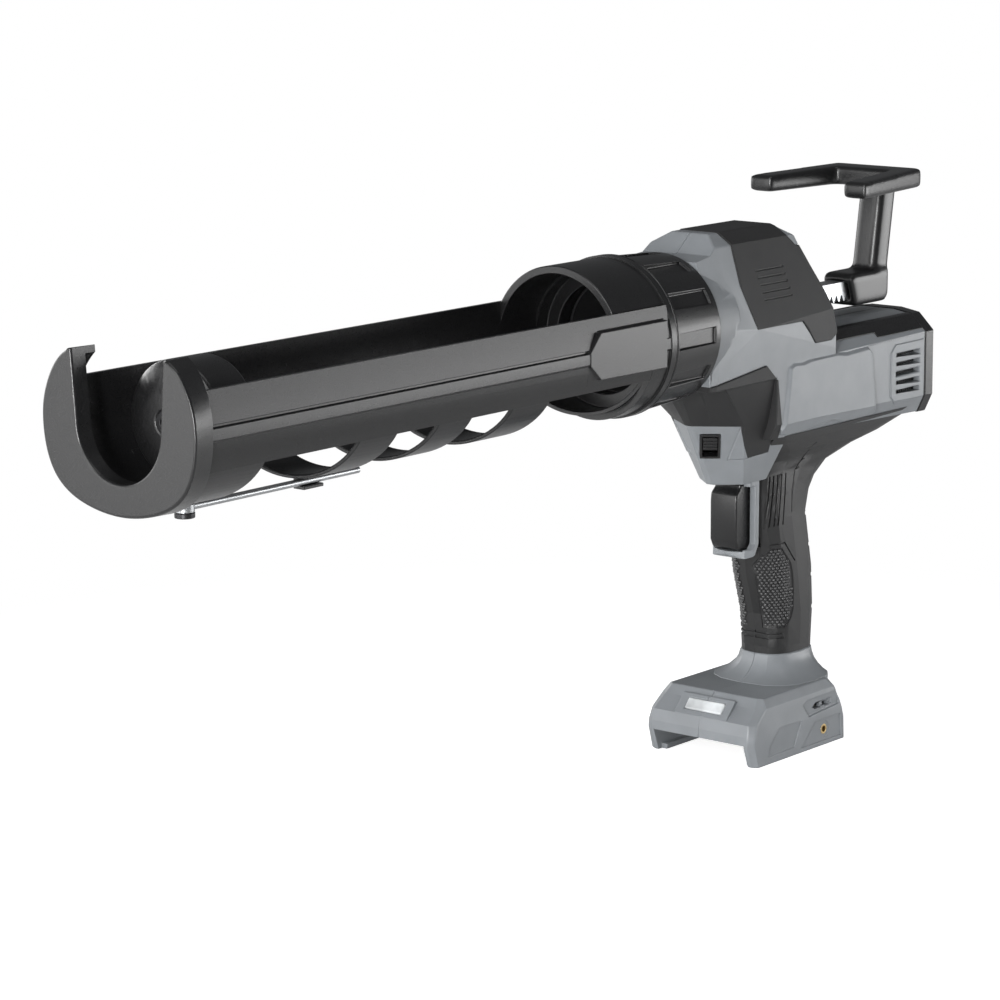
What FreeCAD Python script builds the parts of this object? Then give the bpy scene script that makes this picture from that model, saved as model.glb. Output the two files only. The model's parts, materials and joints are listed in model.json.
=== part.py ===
import FreeCAD, Part
import math
import os

V = FreeCAD.Vector

# Frame: +X towards the muzzle, +Y to the tool's left, +Z up; sizes in millimetres.
# The origin is the middle of the cartridge seat, on the barrel axis.

# Clearances and cutting overrun
OVERRUN = 4.0
FIT_GAP = 0.3
RUN_GAP = 0.06
SEAM_GAP = 0.1
FULL_TURN = 360

# Cartridge and barrel
CARTRIDGE_R = 33.25
CARTRIDGE_GAP = 0.75
TROUGH_WALL = 1.8
TROUGH_LENGTH = 319.0
RAIL_WALL = 4.9
RAIL_TOP_Z = 19.0
RAIL_LOW_Z = -16.1
RAIL_TOP_OUT = 2.2
RAIL_TOP_WALL = 2.1
RIDGE_PROUD = 0.6
RIDGE_LOW_Z = -2.7
RIDGE_TOP_Z = 3.4
GROOVE_WIDTH = 1.2
GROOVE_DEPTH = 0.9
HOOD_OUT = 5.0
HOOD_WALL = 3.7
HOOD_LENGTH = 35.3
REAR_RING_LENGTH = 8.0
BULKHEAD_THICK = 4.0
BULKHEAD_HOLE_R = 27.2
FLANGE_LIP = 1.0
FLANGE_THICK = 4.4
NECK_LENGTH = 31.0
NECK_WALL = 3.0
GAP_Y_SHARE = 0.91
GAP_SLANT_SHARE = 0.3
GAP_SHARES = [(0.664, 0.853), (0.497, 0.585), (0.334, 0.424), (0.025, 0.248)]
PAD_LENGTH = 59.0
PAD_MIDDLE_Z = 0.9
PAD_HALF_HEIGHT = 11.7
PAD_PROUD = 1.1
PAD_SHARES = [(0.0, 1.0), (0.87, 1.0), (1.0, 0.28), (1.0, -0.34), (0.87, -0.95), (0.0, -1.0)]

# Front cap
CAP_RIM_LIP = 1.6
CAP_FACE_LIP = 5.8
CAP_RIM_LENGTH = 6.0
CAP_FACE_THICK = 8.5
CAP_RIM_DROP = 1.4
CAP_FACE_DROP = 0.6
CAP_HORN_Z = 32.6
CAP_SHARES = [
    (0.59, 0.96), (0.64, 0.90), (0.742, 0.815), (0.852, 0.663), (0.932, 0.478), (0.985, 0.265), (1.0, 0.028),
    (0.982, -0.207), (0.927, -0.442), (0.828, -0.644), (0.684, -0.793), (0.479, -0.906), (0.243, -0.975)]
SLOT_HALF = 24.6
SLOT_TOP_HALF = 27.4
SLOT_CENTRE_Z = 2.4

# Puncture rod under the barrel
ROD_R = 1.6
ROD_PIVOT_SHARE = 0.906
ROD_LENGTH = 111.0
ROD_EYE_R = 4.4
ROD_SCREW_R = 2.0
ROD_HEAD_R = 4.5
ROD_HEAD_THICK = 2.4
ROD_BOSS_R = 5.2
ROD_BOSS_DROP = 0.4
CLIP_SHARE = 0.6364
CLIP_LENGTH = 13.0
CLIP_HALF = 4.6
CLIP_LIP = 1.6

# Plunger, rack and pull handle
PLUNGER_R = 26.4
PLUNGER_REAR_X = 270.0
PLUNGER_LENGTH = 30.0
PLUNGER_CHAMFER = 2.6
PLUNGER_DOME = 7.0
PLUNGER_SKIRT = 3.0
PLUNGER_WEB = 9.0
PLUNGER_HUB_R = 11.0
RACK_HALF = 5.0
RACK_TOP_Z = 6.2
RACK_TIP_Z = -3.8
RACK_REAR_X = -233.0
RACK_PLAIN_LENGTH = 34.0
PLUNGER_SCREW_R = 2.5
PLUNGER_SCREW_HEAD_R = 5.0
PLUNGER_SCREW_HEAD = 3.0
PLUNGER_SCREW_LENGTH = 40.0
SOCKET_FRONT_X = -202.0
SOCKET_REAR_X = -238.0
SOCKET_HALF = 9.6
SOCKET_TOP_Z = 10.4
SOCKET_LOW_Z = -7.2
SOCKET_NOSE = 4.5
STEM_HALF = 8.2
STEM_DEPTH = 15.5
STEM_FRONT_X = -223.0
STEM_LEAN = 10.0
STEM_CHAMFER = 3.0
BAR_LOW_Z = 54.0
BAR_TOP_Z = 64.4
BAR_REAR_X = -241.0
BAR_DEPTH = 16.0
BAR_HALF = 27.0
BAR_INNER_HALF = 16.5
ARM_FRONT_X = -173.0
ARM_OUTER_Y = 36.6
ARM_INNER_Y = 22.5
ARM_DROP = 1.6
HANDLE_PIN_R = 2.0
HANDLE_PIN_X = -215.0
HANDLE_PIN_Z = 3.0
HANDLE_PIN_COVER = 2.4

# Collar nut
COLLAR_REAR_X = -47.6
COLLAR_R = 39.0
COLLAR_REAR_R = 37.2
COLLAR_LIP = 1.6
FLUTE_COUNT = 12
FLUTE_WIDTH = 8.0
FLUTE_DEPTH = 1.2
FLUTE_STOP = 4.5

# Gear train
PRESSURE_ANGLE = math.radians(25)
BACKLASH = 0.25
FLANK_STEPS = 4
ADDENDUM_SHARE = 0.9
ROOT_SHARE = 1.25
RACK_MODULE = 1.5
RACK_PINION_TEETH = 12
SPUR_GEAR_TEETH = 26
SPUR_PINION_TEETH = 12
PINION_X = -105.0
PINION_FACE = 9.4
SPUR_SIDE_Y = -6.4
SPUR_FACE = 7.0
SHAFT_R = 4.0
BEVEL_MODULE = 1.25
BEVEL_PINION_TEETH = 12
BEVEL_GEAR_TEETH = 24
BEVEL_SMALL_SHARE = 0.58
BEVEL_HUB_R = 9.0
PLANET_MODULE = 0.9
SUN_TEETH = 12
PLANET_TEETH = 12
RING_TEETH = 36
RING_TIP_SHARE = 0.75
PLANET_COUNT = 3
PLANET_FACE = 9.0
PLANET_PIN_R = 1.8
RING_R = 19.2
RING_LENGTH = 26.0
RING_MOUTH_R = 17.4
RING_MOUTH_LENGTH = 11.0
CARRIER_R = 15.6
CARRIER_THICK = 4.0
CARRIER_SPACE = 4.5
OUTPUT_R = 4.0
BUSH_R = 6.5

# Gear case
PLATE_Y = 17.0
PLATE_THICK = 3.5
CASE_FRONT_X = -50.0
CASE_REAR_X = -130.0
CASE_TOP_Z = 15.0
CASE_LOW_Z = -57.0
CASE_STEP_X = -96.0
CASE_STEP_Z = -18.0
CASE_DISC = 6.0
CASE_DISC_R = 31.0
CASE_BRIDGE = 4.0
SPIGOT_R = 31.5
SPIGOT_BORE_R = 27.2
SPIGOT_STEP = 0.6
SPIGOT_FRONT_X = -11.0
DRIVE_ROOM_FRONT_X = -86.0
DRIVE_ROOM_HALF = 16.0
DRIVE_ROOM_LOW_Z = -58.4
GUIDE_LENGTH = 40.0
GUIDE_HALF = 5.8

# Motor
MOTOR_R = 19.0
MOTOR_WALL = 1.6
MOTOR_END = 5.0
MOTOR_LENGTH = 66.0
STATOR_INNER_R = 13.2
STATOR_LENGTH = 36.0
STATOR_TEETH = 9
STATOR_SLOT = 3.2
ROTOR_R = 12.6
ROTOR_LENGTH = 38.0
ROTOR_SHAFT_R = 2.5
MOTOR_BEARING_R = 7.0
FAN_R = 16.0
FAN_HUB_R = 6.0
FAN_LENGTH = 7.0
FAN_BLADES = 9
FAN_BLADE = 1.2
MOTOR_RIB = 3.0
MOTOR_RIB_SHARES = [0.25, 0.80]

# Housing outlines
SHELL_WALL = 3.2
SKIN_DEPTH = 1.8
SKIN_PROUD = 0.4
BODY_FRONT_X = -48.0
BODY_LENGTH = 195.0
BODY_HEIGHT = 45.0
BODY_HOLE_R = 33.0
NOSE_RING_R = 36.4
NOSE_RING_LENGTH = 24.0
NOSE_RING_END_R = 31.0
GEAR_HALF = 32.5
GEAR_SIDE_SHARES = [
    (0.0, 0.745), (0.065, 0.787), (0.1215, 0.991), (0.395, 0.991), (0.438, 0.86), (0.453, 0.711),
    (0.477, 0.511), (0.513, 0.222), (0.533, 0.022), (0.554, -0.267), (0.554, -0.667), (0.0, -0.667)]
GEAR_FRONT_SHARES = [(0.348, 0.991), (0.609, 0.867), (1.0, -0.067), (0.985, -0.267), (0.955, -0.667)]
GEAR_PLAN_SHARES = [(0.0, 0.93), (0.03, 0.97), (0.20, 1.0), (0.554, 0.97)]
MOTOR_HALF = 31.2
MOTOR_FRONT_SHARE = 0.287
MOTOR_SIDE_SHARES = [(0.287, -0.275), (1.08, -0.275), (1.08, -1.487), (0.287, -1.375)]
MOTOR_FRONT_SHARES = [(0.30, -0.275), (0.655, -0.315), (1.0, -0.55), (0.985, -1.2), (0.79, -1.487)]
MOTOR_PLAN_SHARES = [(0.287, 1.0), (1.08, 0.935)]
REAR_CAP_THICK = 8.0
REAR_SLOTS = 5
REAR_SLOT_HALF = 15.0
REAR_SLOT_PITCH = 8.0
REAR_SLOT_HEIGHT = 3.6
PANEL_PROUD = 1.8
PANEL_EDGE = 1.4
PANEL_SHARES = [
    (0.338, -0.57), (0.36, -0.535), (0.40, -0.55), (0.43, -0.53), (0.56, -0.53), (0.60, -0.56), (0.71, -0.55),
    (0.725, -0.60), (0.75, -1.30), (0.735, -1.35), (0.62, -1.33), (0.55, -1.28), (0.37, -1.33),
    (0.318, -1.30)]
VENT_PROUD = 0.7
VENT_FRONT_X = -209.5
VENT_LENGTH = 31.5
VENT_TOP_Z = -26.5
VENT_HEIGHT = 31.5
VENT_CUT = 4.0
VENT_SLOTS = 5
VENT_PITCH = 4.9
VENT_SLOT_LENGTH = 23.0
VENT_SLOT_HEIGHT = 2.5

# Black skins on the housing
COVER_SHARES = [
    (0.159, 1.2), (0.159, 0.40), (0.19, -0.067), (0.392, -0.067), (0.4256, -0.211), (0.453, -0.356),
    (0.53, -0.356), (0.562, -0.27), (0.541, 0.022), (0.521, 0.222), (0.485, 0.511), (0.461, 0.711),
    (0.455, 0.75), (0.435, 0.75), (0.405, 0.867), (0.395, 1.2)]
LINE_COUNT = 5
LINE_PITCH = 3.65
LINE_TOP_Z = 25.0
LINE_FRONT_X = -94.0
LINE_LENGTH = 24.0
LINE_SHIFT = 0.5
LINE_WIDTH = 0.8
LINE_DEPTH = 0.5
BAND_SHARES = [(0.56, -0.2), (0.58, -0.36), (0.76, -0.42), (0.95, -0.42), (0.95, -0.2)]
BAND_STEP_SHARES = [(0.56, -0.2), (0.58, -0.36), (0.86, -0.47), (1.1, -0.47), (1.1, -0.2)]
BAND_FRONT_X = -141.0
BAND_STEP_X = -200.0
CHIN_PANEL_SHARES = [
    (-0.1, -0.616), (0.0, -0.616), (0.237, -0.498), (0.292, -0.698), (0.302, -0.95), (0.314, -1.25),
    (0.325, -1.42), (0.33, -1.56), (0.213, -1.60), (0.20, -1.185), (-0.1, -1.17)]

# Chin, nose and trigger guard
CHIN_FRONT_X = -50.0
CHIN_DEPTH = 66.0
CHIN_HALF = 31.0
CHIN_TOP_Z = -20.0
CHIN_MID_Z = -52.7
NOSE_LOW_Z = -86.0
CHIN_TOP_SHARES = [(-0.02, 0.19), (0.0, 0.58), (0.045, 0.97), (1.136, 1.0)]
CHIN_MID_SHARES = [(0.325, 0.06), (0.423, 0.329), (0.567, 0.73), (1.136, 0.935)]
NOSE_LOW_SHARES = [(0.598, 0.06), (0.661, 0.215), (0.755, 0.445), (1.05, 0.45)]
NOSE_FLOOR = 3.0
GUARD_HALF = 13.0
GUARD_DEPTH = 34.0
GUARD_FRONT_X = -91.0
GUARD_HEIGHT = 52.0
GUARD_TOP_Z = -76.0
GUARD_SHARES = [
    (0.456, 0.16), (0.47, 0.55), (0.50, 0.80), (0.42, 0.86), (0.355, 0.885), (0.36, 0.935), (0.45, 0.972),
    (0.60, 0.945), (0.69, 0.84), (0.70, 0.20), (0.80, 0.0), (0.58, 0.0)]
GUARD_PLAN_SHARES = [(0.33, 0.30), (0.40, 0.62), (0.50, 1.0), (0.82, 1.0)]

# Grip
GRIP_TOP_Z = -62.0
GRIP_SPAN = 126.0
GRIP_SEAT = 6.5
GRIP_CENTRE_X = -146.0
GRIP_DEPTH = 52.0
GRIP_HALF = 16.2
GRIP_SKIN = 1.8
GRIP_POINTS = 9
GRIP_LEVEL_SHARES = [
    (0.0, 0.79, 1.865, 1.72, 8.0), (0.04, 0.77, 1.84, 1.46, 6.0), (0.095, 0.69, 1.62, 1.14, 3.5),
    (0.127, 0.62, 1.19, 1.05, 2.8), (0.171, 0.60, 0.72, 1.0, 2.6), (0.226, 0.59, 0.49, 1.0, 2.6),
    (0.278, 0.58, 0.385, 1.0, 2.6), (0.365, 0.565, 0.32, 1.0, 2.6), (0.476, 0.51, 0.375, 1.0, 2.6),
    (0.603, 0.46, 0.435, 1.0, 2.6), (0.778, 0.33, 0.46, 0.97, 2.6), (0.92, 0.30, 0.44, 0.945, 2.6),
    (1.0, 0.295, 0.43, 0.945, 2.6)]
GRIP_ROOM_HALF = 9.0
GRIP_ROOM_SHARES = [
    (0.40, 0.0), (0.40, 0.46), (0.02, 0.53), (0.02, 1.12), (-0.26, 1.12), (-0.20, 0.30), (-0.20, 0.0)]

# Foot
FOOT_HALF = 34.0
FOOT_FRONT_X = -80.0
FOOT_LENGTH = 84.0
FOOT_HEIGHT = 47.5
FOOT_RING_SHARES = [
    (0.285, [(0.179, 0.79), (0.20, 0.87), (0.857, 0.87), (1.012, 0.56), (1.083, 0.265)]),
    (0.383, [(0.132, 0.84), (0.173, 0.96), (0.911, 0.96), (1.03, 0.65), (1.083, 0.265)]),
    (0.525, [(0.03, 0.885), (0.07, 0.98), (0.95, 0.985), (1.033, 0.75), (1.075, 0.265)]),
    (0.65, [(0.012, 0.90), (0.045, 1.0), (0.976, 1.0), (1.036, 0.82), (1.065, 0.265)]),
    (0.75, [(0.008, 0.90), (0.04, 1.0), (0.994, 1.0), (1.042, 0.85), (1.06, 0.265)]),
    (1.0, [(0.06, 0.91), (0.083, 1.0), (1.0, 1.0), (1.036, 0.88), (1.054, 0.265)])]
FOOT_NECK_SHARES = [
    (0.0, 0.04), (0.07, 0.09), (0.14, 0.2), (0.2, 0.38), (0.25, 0.6), (0.28, 0.8), (0.33, 0.85)]
FOOT_NECK_REAR_SHARE = 0.3
FOOT_ROOM_HALF = 24.0
FOOT_ROOF = 17.0
FOOT_ROOM_INSET = 21.0
FOOT_ROOM_LENGTH = 49.0
BAY_WALL = 5.6
BAY_HEIGHT = 12.0
BAY_ROOF = 3.0
BAY_LENGTH = 76.0
RAIL_REACH = 3.2
RAIL_INSET = 8.0
RAIL_THICK = 3.0
TERMINAL_HALF = 15.0
TERMINAL_INSET = 32.0
TERMINAL_LENGTH = 32.0
TERMINAL_DROP = 3.0
TERMINAL_HEIGHT = 12.0
TERMINAL_FLANGE = 2.5
BLADE_COUNT = 4
BLADE_PITCH = 7.0
BLADE_THICK = 0.9
BLADE_HEIGHT = 5.5
BLADE_LENGTH = 16.0
LED_INSET = 7.2
LED_DROP = 20.5
LED_TILT = -42
LED_HALF = 11.5
LED_HEIGHT = 6.5
LED_PROUD = 0.5
LED_THICK = 2.6
LED_BEZEL_HALF = 16.5
LED_BEZEL_HEIGHT = 12.5
LED_BEZEL_PROUD = 0.9
LED_CHIP = 2.6
INSERT_INSET = 66.7
INSERT_RISE = 8.3
INSERT_R = 2.6
INSERT_BORE_R = 1.65
INSERT_LENGTH = 4.4
INSERT_SINK_R = 4.4
INSERT_SINK = 1.1
FOOT_VENT_SHARES = [(0.675, 0.55), (0.71, 0.505), (0.875, 0.495), (0.875, 0.555), (0.71, 0.565)]
FOOT_VENT_DEPTH = 3.4
VENT_RECESS_SHARES = [(0.56, 0.48), (0.60, 0.44), (0.95, 0.43), (0.95, 0.585), (0.66, 0.62), (0.62, 0.63)]
VENT_RECESS_DEPTH = 1.6
PLATE_SHARES = [(0.30, 0.627), (0.536, 0.636), (0.463, 0.905), (0.185, 0.915), (0.20, 0.80)]
INSERT_PLATE_SHARES = [(0.68, 0.70), (0.955, 0.70), (0.97, 0.95), (0.53, 0.95)]
PLATE_DEPTH = 0.7

# Trigger, switch and slider
TRIGGER_HALF = 8.4
TRIGGER_FRONT_X = -101.0
TRIGGER_DEPTH = 21.0
TRIGGER_TOP_Z = -86.6
TRIGGER_LOW_Z = -122.0
TRIGGER_SHARES = [
    (0.0, 0.06), (0.06, 0.0), (1.0, 0.0), (1.0, 1.0), (0.25, 1.0), (0.10, 0.93), (0.0, 0.80), (0.07, 0.45)]
TRIGGER_CHAMFER = 2.4
TRIGGER_GAP = 0.6
TRIGGER_STEM_R = 2.6
TRIGGER_STEM_LENGTH = 16.0
TRIGGER_TRAVEL = 6.0
SWITCH_FRONT_X = -131.5
SWITCH_LENGTH = 24.0
SWITCH_TOP_Z = -94.0
SWITCH_LOW_Z = -121.0
SPRING_R = 4.6
SPRING_WIRE_R = 0.5
SPRING_TURNS = 5
SLIDER_Z = -62.5
SLIDER_ALONG_SHARE = 0.27
SLIDER_HALF = 3.6
SLIDER_HEIGHT = 7.2
SLIDER_THICK = 3.4
SLIDER_PROUD = 1.2
SLIDER_TRAVEL = 4.0
SLIDER_RIBS = 4
SLIDER_RIB = 0.5
SLIDER_RIM = 1.2

# Board and screws
BOARD_HALF = 20.0
BOARD_THICK = 1.6
BOARD_LENGTH = 40.0
CHIP_SIZE = 9.0
CHIP_THICK = 1.8
SCREW_R = 1.6
SCREW_HEAD_R = 3.0
SCREW_HEAD = 2.4
SCREW_BOSS_R = 4.6
SCREW_LENGTH = 28.0
SCREW_SINK = 2.0
HUMP_SCREW_SHARES = [(0.185, 0.66), (0.375, 0.66)]
FOOT_SCREW_SHARES = [(0.215, 0.42), (0.955, 0.50)]
FOOT_SCREW_DEPTH = 18.0

# Worked-out places
BORE_R = CARTRIDGE_R + CARTRIDGE_GAP
TROUGH_R = BORE_R + TROUGH_WALL
RAIL_R = BORE_R + RAIL_WALL
RAIL_TOP_Y = BORE_R + RAIL_TOP_OUT
HOOD_R = BORE_R + HOOD_OUT
FLANGE_R = HOOD_R + FLANGE_LIP
PAD_FACE_Y = RAIL_R + PAD_PROUD
CAP_SEAT_R = math.hypot(RAIL_R + RIDGE_PROUD, RIDGE_TOP_Z)
ROD_Z = -TROUGH_R - ROD_BOSS_DROP - FIT_GAP - ROD_R
ROD_PIVOT_X = ROD_PIVOT_SHARE * TROUGH_LENGTH
CLIP_X = CLIP_SHARE * TROUGH_LENGTH
FLANGE_REAR_X = -BULKHEAD_THICK - FLANGE_THICK
NECK_REAR_X = FLANGE_REAR_X - NECK_LENGTH
COLLAR_FRONT_X = FLANGE_REAR_X - FIT_GAP
PLUNGER_FRONT_X = PLUNGER_REAR_X + PLUNGER_LENGTH
PINION_PITCH_R = RACK_PINION_TEETH * RACK_MODULE / 2
PINION_Z = RACK_TIP_Z + ADDENDUM_SHARE * RACK_MODULE - PINION_PITCH_R
CROSS_Z = PINION_Z - (SPUR_GEAR_TEETH + SPUR_PINION_TEETH) * RACK_MODULE / 2
PLATE_OUT_Y = PLATE_Y + PLATE_THICK
BEVEL_GEAR_R = BEVEL_GEAR_TEETH * BEVEL_MODULE / 2
BEVEL_PINION_R = BEVEL_PINION_TEETH * BEVEL_MODULE / 2
BEVEL_BACK_X = PINION_X - BEVEL_GEAR_R
CARRIER_FRONT_X = CASE_REAR_X - CARRIER_SPACE
CARRIER_BACK_X = CARRIER_FRONT_X - CARRIER_THICK
PLANET_FRONT_X = CARRIER_BACK_X - FIT_GAP
PLANET_BACK_X = PLANET_FRONT_X - PLANET_FACE
RING_REAR_X = CASE_REAR_X - RING_LENGTH
PLANET_CENTRE_R = (SUN_TEETH + PLANET_TEETH) * PLANET_MODULE / 2
MOTOR_REAR_X = RING_REAR_X - MOTOR_LENGTH
FAN_FRONT_X = MOTOR_REAR_X - OVERRUN
BODY_REAR_X = BODY_FRONT_X - BODY_LENGTH
CAP_REAR_X = BODY_REAR_X - REAR_CAP_THICK
FOOT_TOP_Z = GRIP_TOP_Z - GRIP_SPAN + GRIP_SEAT
FOOT_LOW_Z = FOOT_TOP_Z - FOOT_HEIGHT
FOOT_ROOM_TOP_Z = FOOT_TOP_Z - FOOT_ROOF
FOOT_ROOM_FRONT_X = FOOT_FRONT_X - FOOT_ROOM_INSET
FOOT_ROOM_REAR_X = FOOT_ROOM_FRONT_X - FOOT_ROOM_LENGTH
BAY_HALF = FOOT_HALF - BAY_WALL
BAY_ROOF_Z = FOOT_LOW_Z + BAY_HEIGHT
BAY_REAR_X = FOOT_FRONT_X - BAY_LENGTH
TERMINAL_FRONT_X = FOOT_FRONT_X - TERMINAL_INSET
TERMINAL_TOP_Z = BAY_ROOF_Z - TERMINAL_DROP + TERMINAL_HEIGHT
LED_X = FOOT_FRONT_X - LED_INSET
LED_Z = FOOT_TOP_Z - LED_DROP
INSERT_X = FOOT_FRONT_X - INSERT_INSET
INSERT_Z = FOOT_LOW_Z + INSERT_RISE
TRIGGER_REAR_X = TRIGGER_FRONT_X - TRIGGER_DEPTH


# Plain solids
def box(x0, x1, y0, y1, z0, z1):
    return Part.makeBox(x1 - x0, y1 - y0, z1 - z0, V(x0, y0, z0))


def rod_x(radius, x0, x1, y=0, z=0):
    return Part.makeCylinder(radius, x1 - x0, V(x0, y, z), V(1, 0, 0))


def rod_y(radius, y0, y1, x, z):
    return Part.makeCylinder(radius, y1 - y0, V(x, y0, z), V(0, 1, 0))


def rod_z(radius, z0, z1, x, y=0):
    return Part.makeCylinder(radius, z1 - z0, V(x, y, z0), V(0, 0, 1))


def tube_x(outer, inner, x0, x1, z=0):
    return rod_x(outer, x0, x1, 0, z).cut(rod_x(inner, x0 - OVERRUN, x1 + OVERRUN, 0, z))


def tube_y(outer, inner, y0, y1, x, z):
    return rod_y(outer, y0, y1, x, z).cut(rod_y(inner, y0 - OVERRUN, y1 + OVERRUN, x, z))


def prism(corners, along):
    return Part.Face(Part.makePolygon(corners + corners[:1])).extrude(along)


def side_prism(outline, y0, y1):
    return prism([V(x, y0, z) for x, z in outline], V(0, y1 - y0, 0))


def front_prism(outline, x0, x1):
    return prism([V(x0, y, z) for y, z in outline], V(x1 - x0, 0, 0))


def plan_prism(outline, z0, z1):
    return prism([V(x, y, z0) for x, y in outline], V(0, 0, z1 - z0))


def turned(profile):
    """A ring about the barrel axis from an (x, radius) outline."""
    face = Part.Face(Part.makePolygon([V(x, 0, r) for x, r in profile + profile[:1]]))
    return face.revolve(V(0, 0, 0), V(1, 0, 0), FULL_TURN)


def fuse(shapes):
    return shapes[0].multiFuse(shapes[1:]).removeSplitter()


def mirrored(shape):
    return shape.mirror(V(0, 0, 0), V(0, 1, 0))


def both_sides(shape):
    return [shape, mirrored(shape)]


def left_half(shape):
    b = shape.BoundBox
    room = box(b.XMin - OVERRUN, b.XMax + OVERRUN, 0, b.YMax + OVERRUN, b.ZMin - OVERRUN, b.ZMax + OVERRUN)
    return shape.common(room)


def tilted(shape, degrees, x, z):
    shape.rotate(V(0, 0, 0), V(0, 1, 0), degrees)
    shape.translate(V(x, 0, z))
    return shape


def largest(shape):
    return max(shape.Solids, key=lambda solid: solid.Volume)


def save(name, shape):
    solids = shape.Solids
    whole = solids[0] if len(solids) == 1 else Part.makeCompound(solids)
    whole.exportStep("parts/" + name + ".step")


# Outlines from shares
def mirror_front(half):
    return half + [(-y, z) for y, z in reversed(half)]


def mirror_plan(half):
    return half + [(x, -y) for x, y in reversed(half)]


def grow_outline(points, distance):
    """Moves each edge of a closed outline outwards by a distance."""
    ends = points[1:] + points[:1]
    area = sum(a[0] * b[1] - b[0] * a[1] for a, b in zip(points, ends))
    turn = 1 if area > 0 else -1
    lines = []
    for a, b in zip(points, ends):
        length = math.hypot(b[0] - a[0], b[1] - a[1])
        normal = (turn * (b[1] - a[1]) / length, -turn * (b[0] - a[0]) / length)
        lines.append((normal, normal[0] * a[0] + normal[1] * a[1] + distance))
    grown = []
    for (n, c), (m, d) in zip(lines[-1:] + lines[:-1], lines):
        det = n[0] * m[1] - n[1] * m[0]
        grown.append(((c * m[1] - d * n[1]) / det, (n[0] * d - m[0] * c) / det))
    return grown


def body_side(shares):
    return [(BODY_FRONT_X - u * BODY_LENGTH, v * BODY_HEIGHT) for u, v in shares]


def body_plan(shares, half):
    return mirror_plan([(BODY_FRONT_X - u * BODY_LENGTH, v * half) for u, v in shares])


def body_front(shares, half):
    return mirror_front([(u * half, v * BODY_HEIGHT) for u, v in shares])


# Barrel
def barrel_rail():
    lower_y = math.sqrt(RAIL_R ** 2 - RAIL_LOW_Z ** 2)
    ridge_y = math.sqrt(RAIL_R ** 2 - RIDGE_LOW_Z ** 2)
    inner_y = math.sqrt(BORE_R ** 2 - RAIL_LOW_Z ** 2)
    middle_z = (RAIL_LOW_Z + RIDGE_LOW_Z) / 2
    outer_mid = V(0, math.sqrt(RAIL_R ** 2 - middle_z ** 2), middle_z)
    inner_mid = V(0, math.sqrt(BORE_R ** 2 - (RAIL_LOW_Z / 2) ** 2), RAIL_LOW_Z / 2)
    corners = [
        V(0, ridge_y, RIDGE_LOW_Z), V(0, RAIL_R + RIDGE_PROUD, RIDGE_LOW_Z + RIDGE_PROUD),
        V(0, RAIL_R + RIDGE_PROUD, RIDGE_TOP_Z), V(0, RAIL_R - GROOVE_DEPTH, RIDGE_TOP_Z),
        V(0, RAIL_R - GROOVE_DEPTH, RIDGE_TOP_Z + GROOVE_WIDTH), V(0, RAIL_R, RIDGE_TOP_Z + GROOVE_WIDTH),
        V(0, RAIL_TOP_Y, RAIL_TOP_Z), V(0, RAIL_TOP_Y - RAIL_TOP_WALL, RAIL_TOP_Z), V(0, BORE_R, 0)]
    edges = [Part.Arc(V(0, lower_y, RAIL_LOW_Z), outer_mid, corners[0]).toShape()]
    edges += [Part.LineSegment(a, b).toShape() for a, b in zip(corners, corners[1:])]
    edges.append(Part.Arc(corners[-1], inner_mid, V(0, inner_y, RAIL_LOW_Z)).toShape())
    edges.append(Part.LineSegment(V(0, inner_y, RAIL_LOW_Z), V(0, lower_y, RAIL_LOW_Z)).toShape())
    rail = Part.Face(Part.Wire(edges)).extrude(V(TROUGH_LENGTH + BULKHEAD_THICK, 0, 0))
    rail.translate(V(-BULKHEAD_THICK, 0, 0))
    pad = [(u * PAD_LENGTH, PAD_MIDDLE_Z + v * PAD_HALF_HEIGHT) for u, v in PAD_SHARES]
    return rail.fuse(side_prism(pad, RAIL_TOP_Y - RAIL_TOP_WALL / 2, PAD_FACE_Y))


def gap_prism(rear_share, front_share):
    near_y = GAP_Y_SHARE * BORE_R
    reach_y = TROUGH_R + OVERRUN
    corners = []
    ends = [(rear_share, 1), (front_share, 1), (front_share, -1), (rear_share, -1)]
    for share, side in ends:
        y = side * reach_y
        corners.append((share * TROUGH_LENGTH + GAP_SLANT_SHARE * (near_y - y), y))
    return plan_prism(corners, -TROUGH_R - OVERRUN, RAIL_LOW_Z)


def whole_barrel():
    low = box(-BULKHEAD_THICK, TROUGH_LENGTH, -TROUGH_R, TROUGH_R, -TROUGH_R - OVERRUN, RAIL_LOW_Z)
    trough = tube_x(TROUGH_R, BORE_R, -BULKHEAD_THICK, TROUGH_LENGTH).common(low)
    for shares in GAP_SHARES:
        trough = trough.cut(gap_prism(*shares))
    arch = box(-BULKHEAD_THICK, HOOD_LENGTH, -FLANGE_R, FLANGE_R, RIDGE_TOP_Z, FLANGE_R)
    hood = tube_x(HOOD_R, HOOD_R - HOOD_WALL, -BULKHEAD_THICK, HOOD_LENGTH).common(arch)
    ring = tube_x(HOOD_R, BORE_R, -BULKHEAD_THICK, REAR_RING_LENGTH)
    bulkhead = tube_x(HOOD_R, BULKHEAD_HOLE_R, -BULKHEAD_THICK, 0)
    flange = tube_x(FLANGE_R, BULKHEAD_HOLE_R, FLANGE_REAR_X, -BULKHEAD_THICK)
    neck_in = SPIGOT_R + RUN_GAP
    neck = tube_x(neck_in + NECK_WALL, neck_in, NECK_REAR_X, FLANGE_REAR_X)
    whole = fuse([trough, hood, ring, bulkhead, flange, neck] + both_sides(barrel_rail()))
    return whole.cut(rod_x(BULKHEAD_HOLE_R, FLANGE_REAR_X - OVERRUN, OVERRUN))


def rear_of_pad():
    reach = FLANGE_R + OVERRUN
    return box(NECK_REAR_X - OVERRUN, PAD_LENGTH, -reach, reach, -reach, reach)


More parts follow.
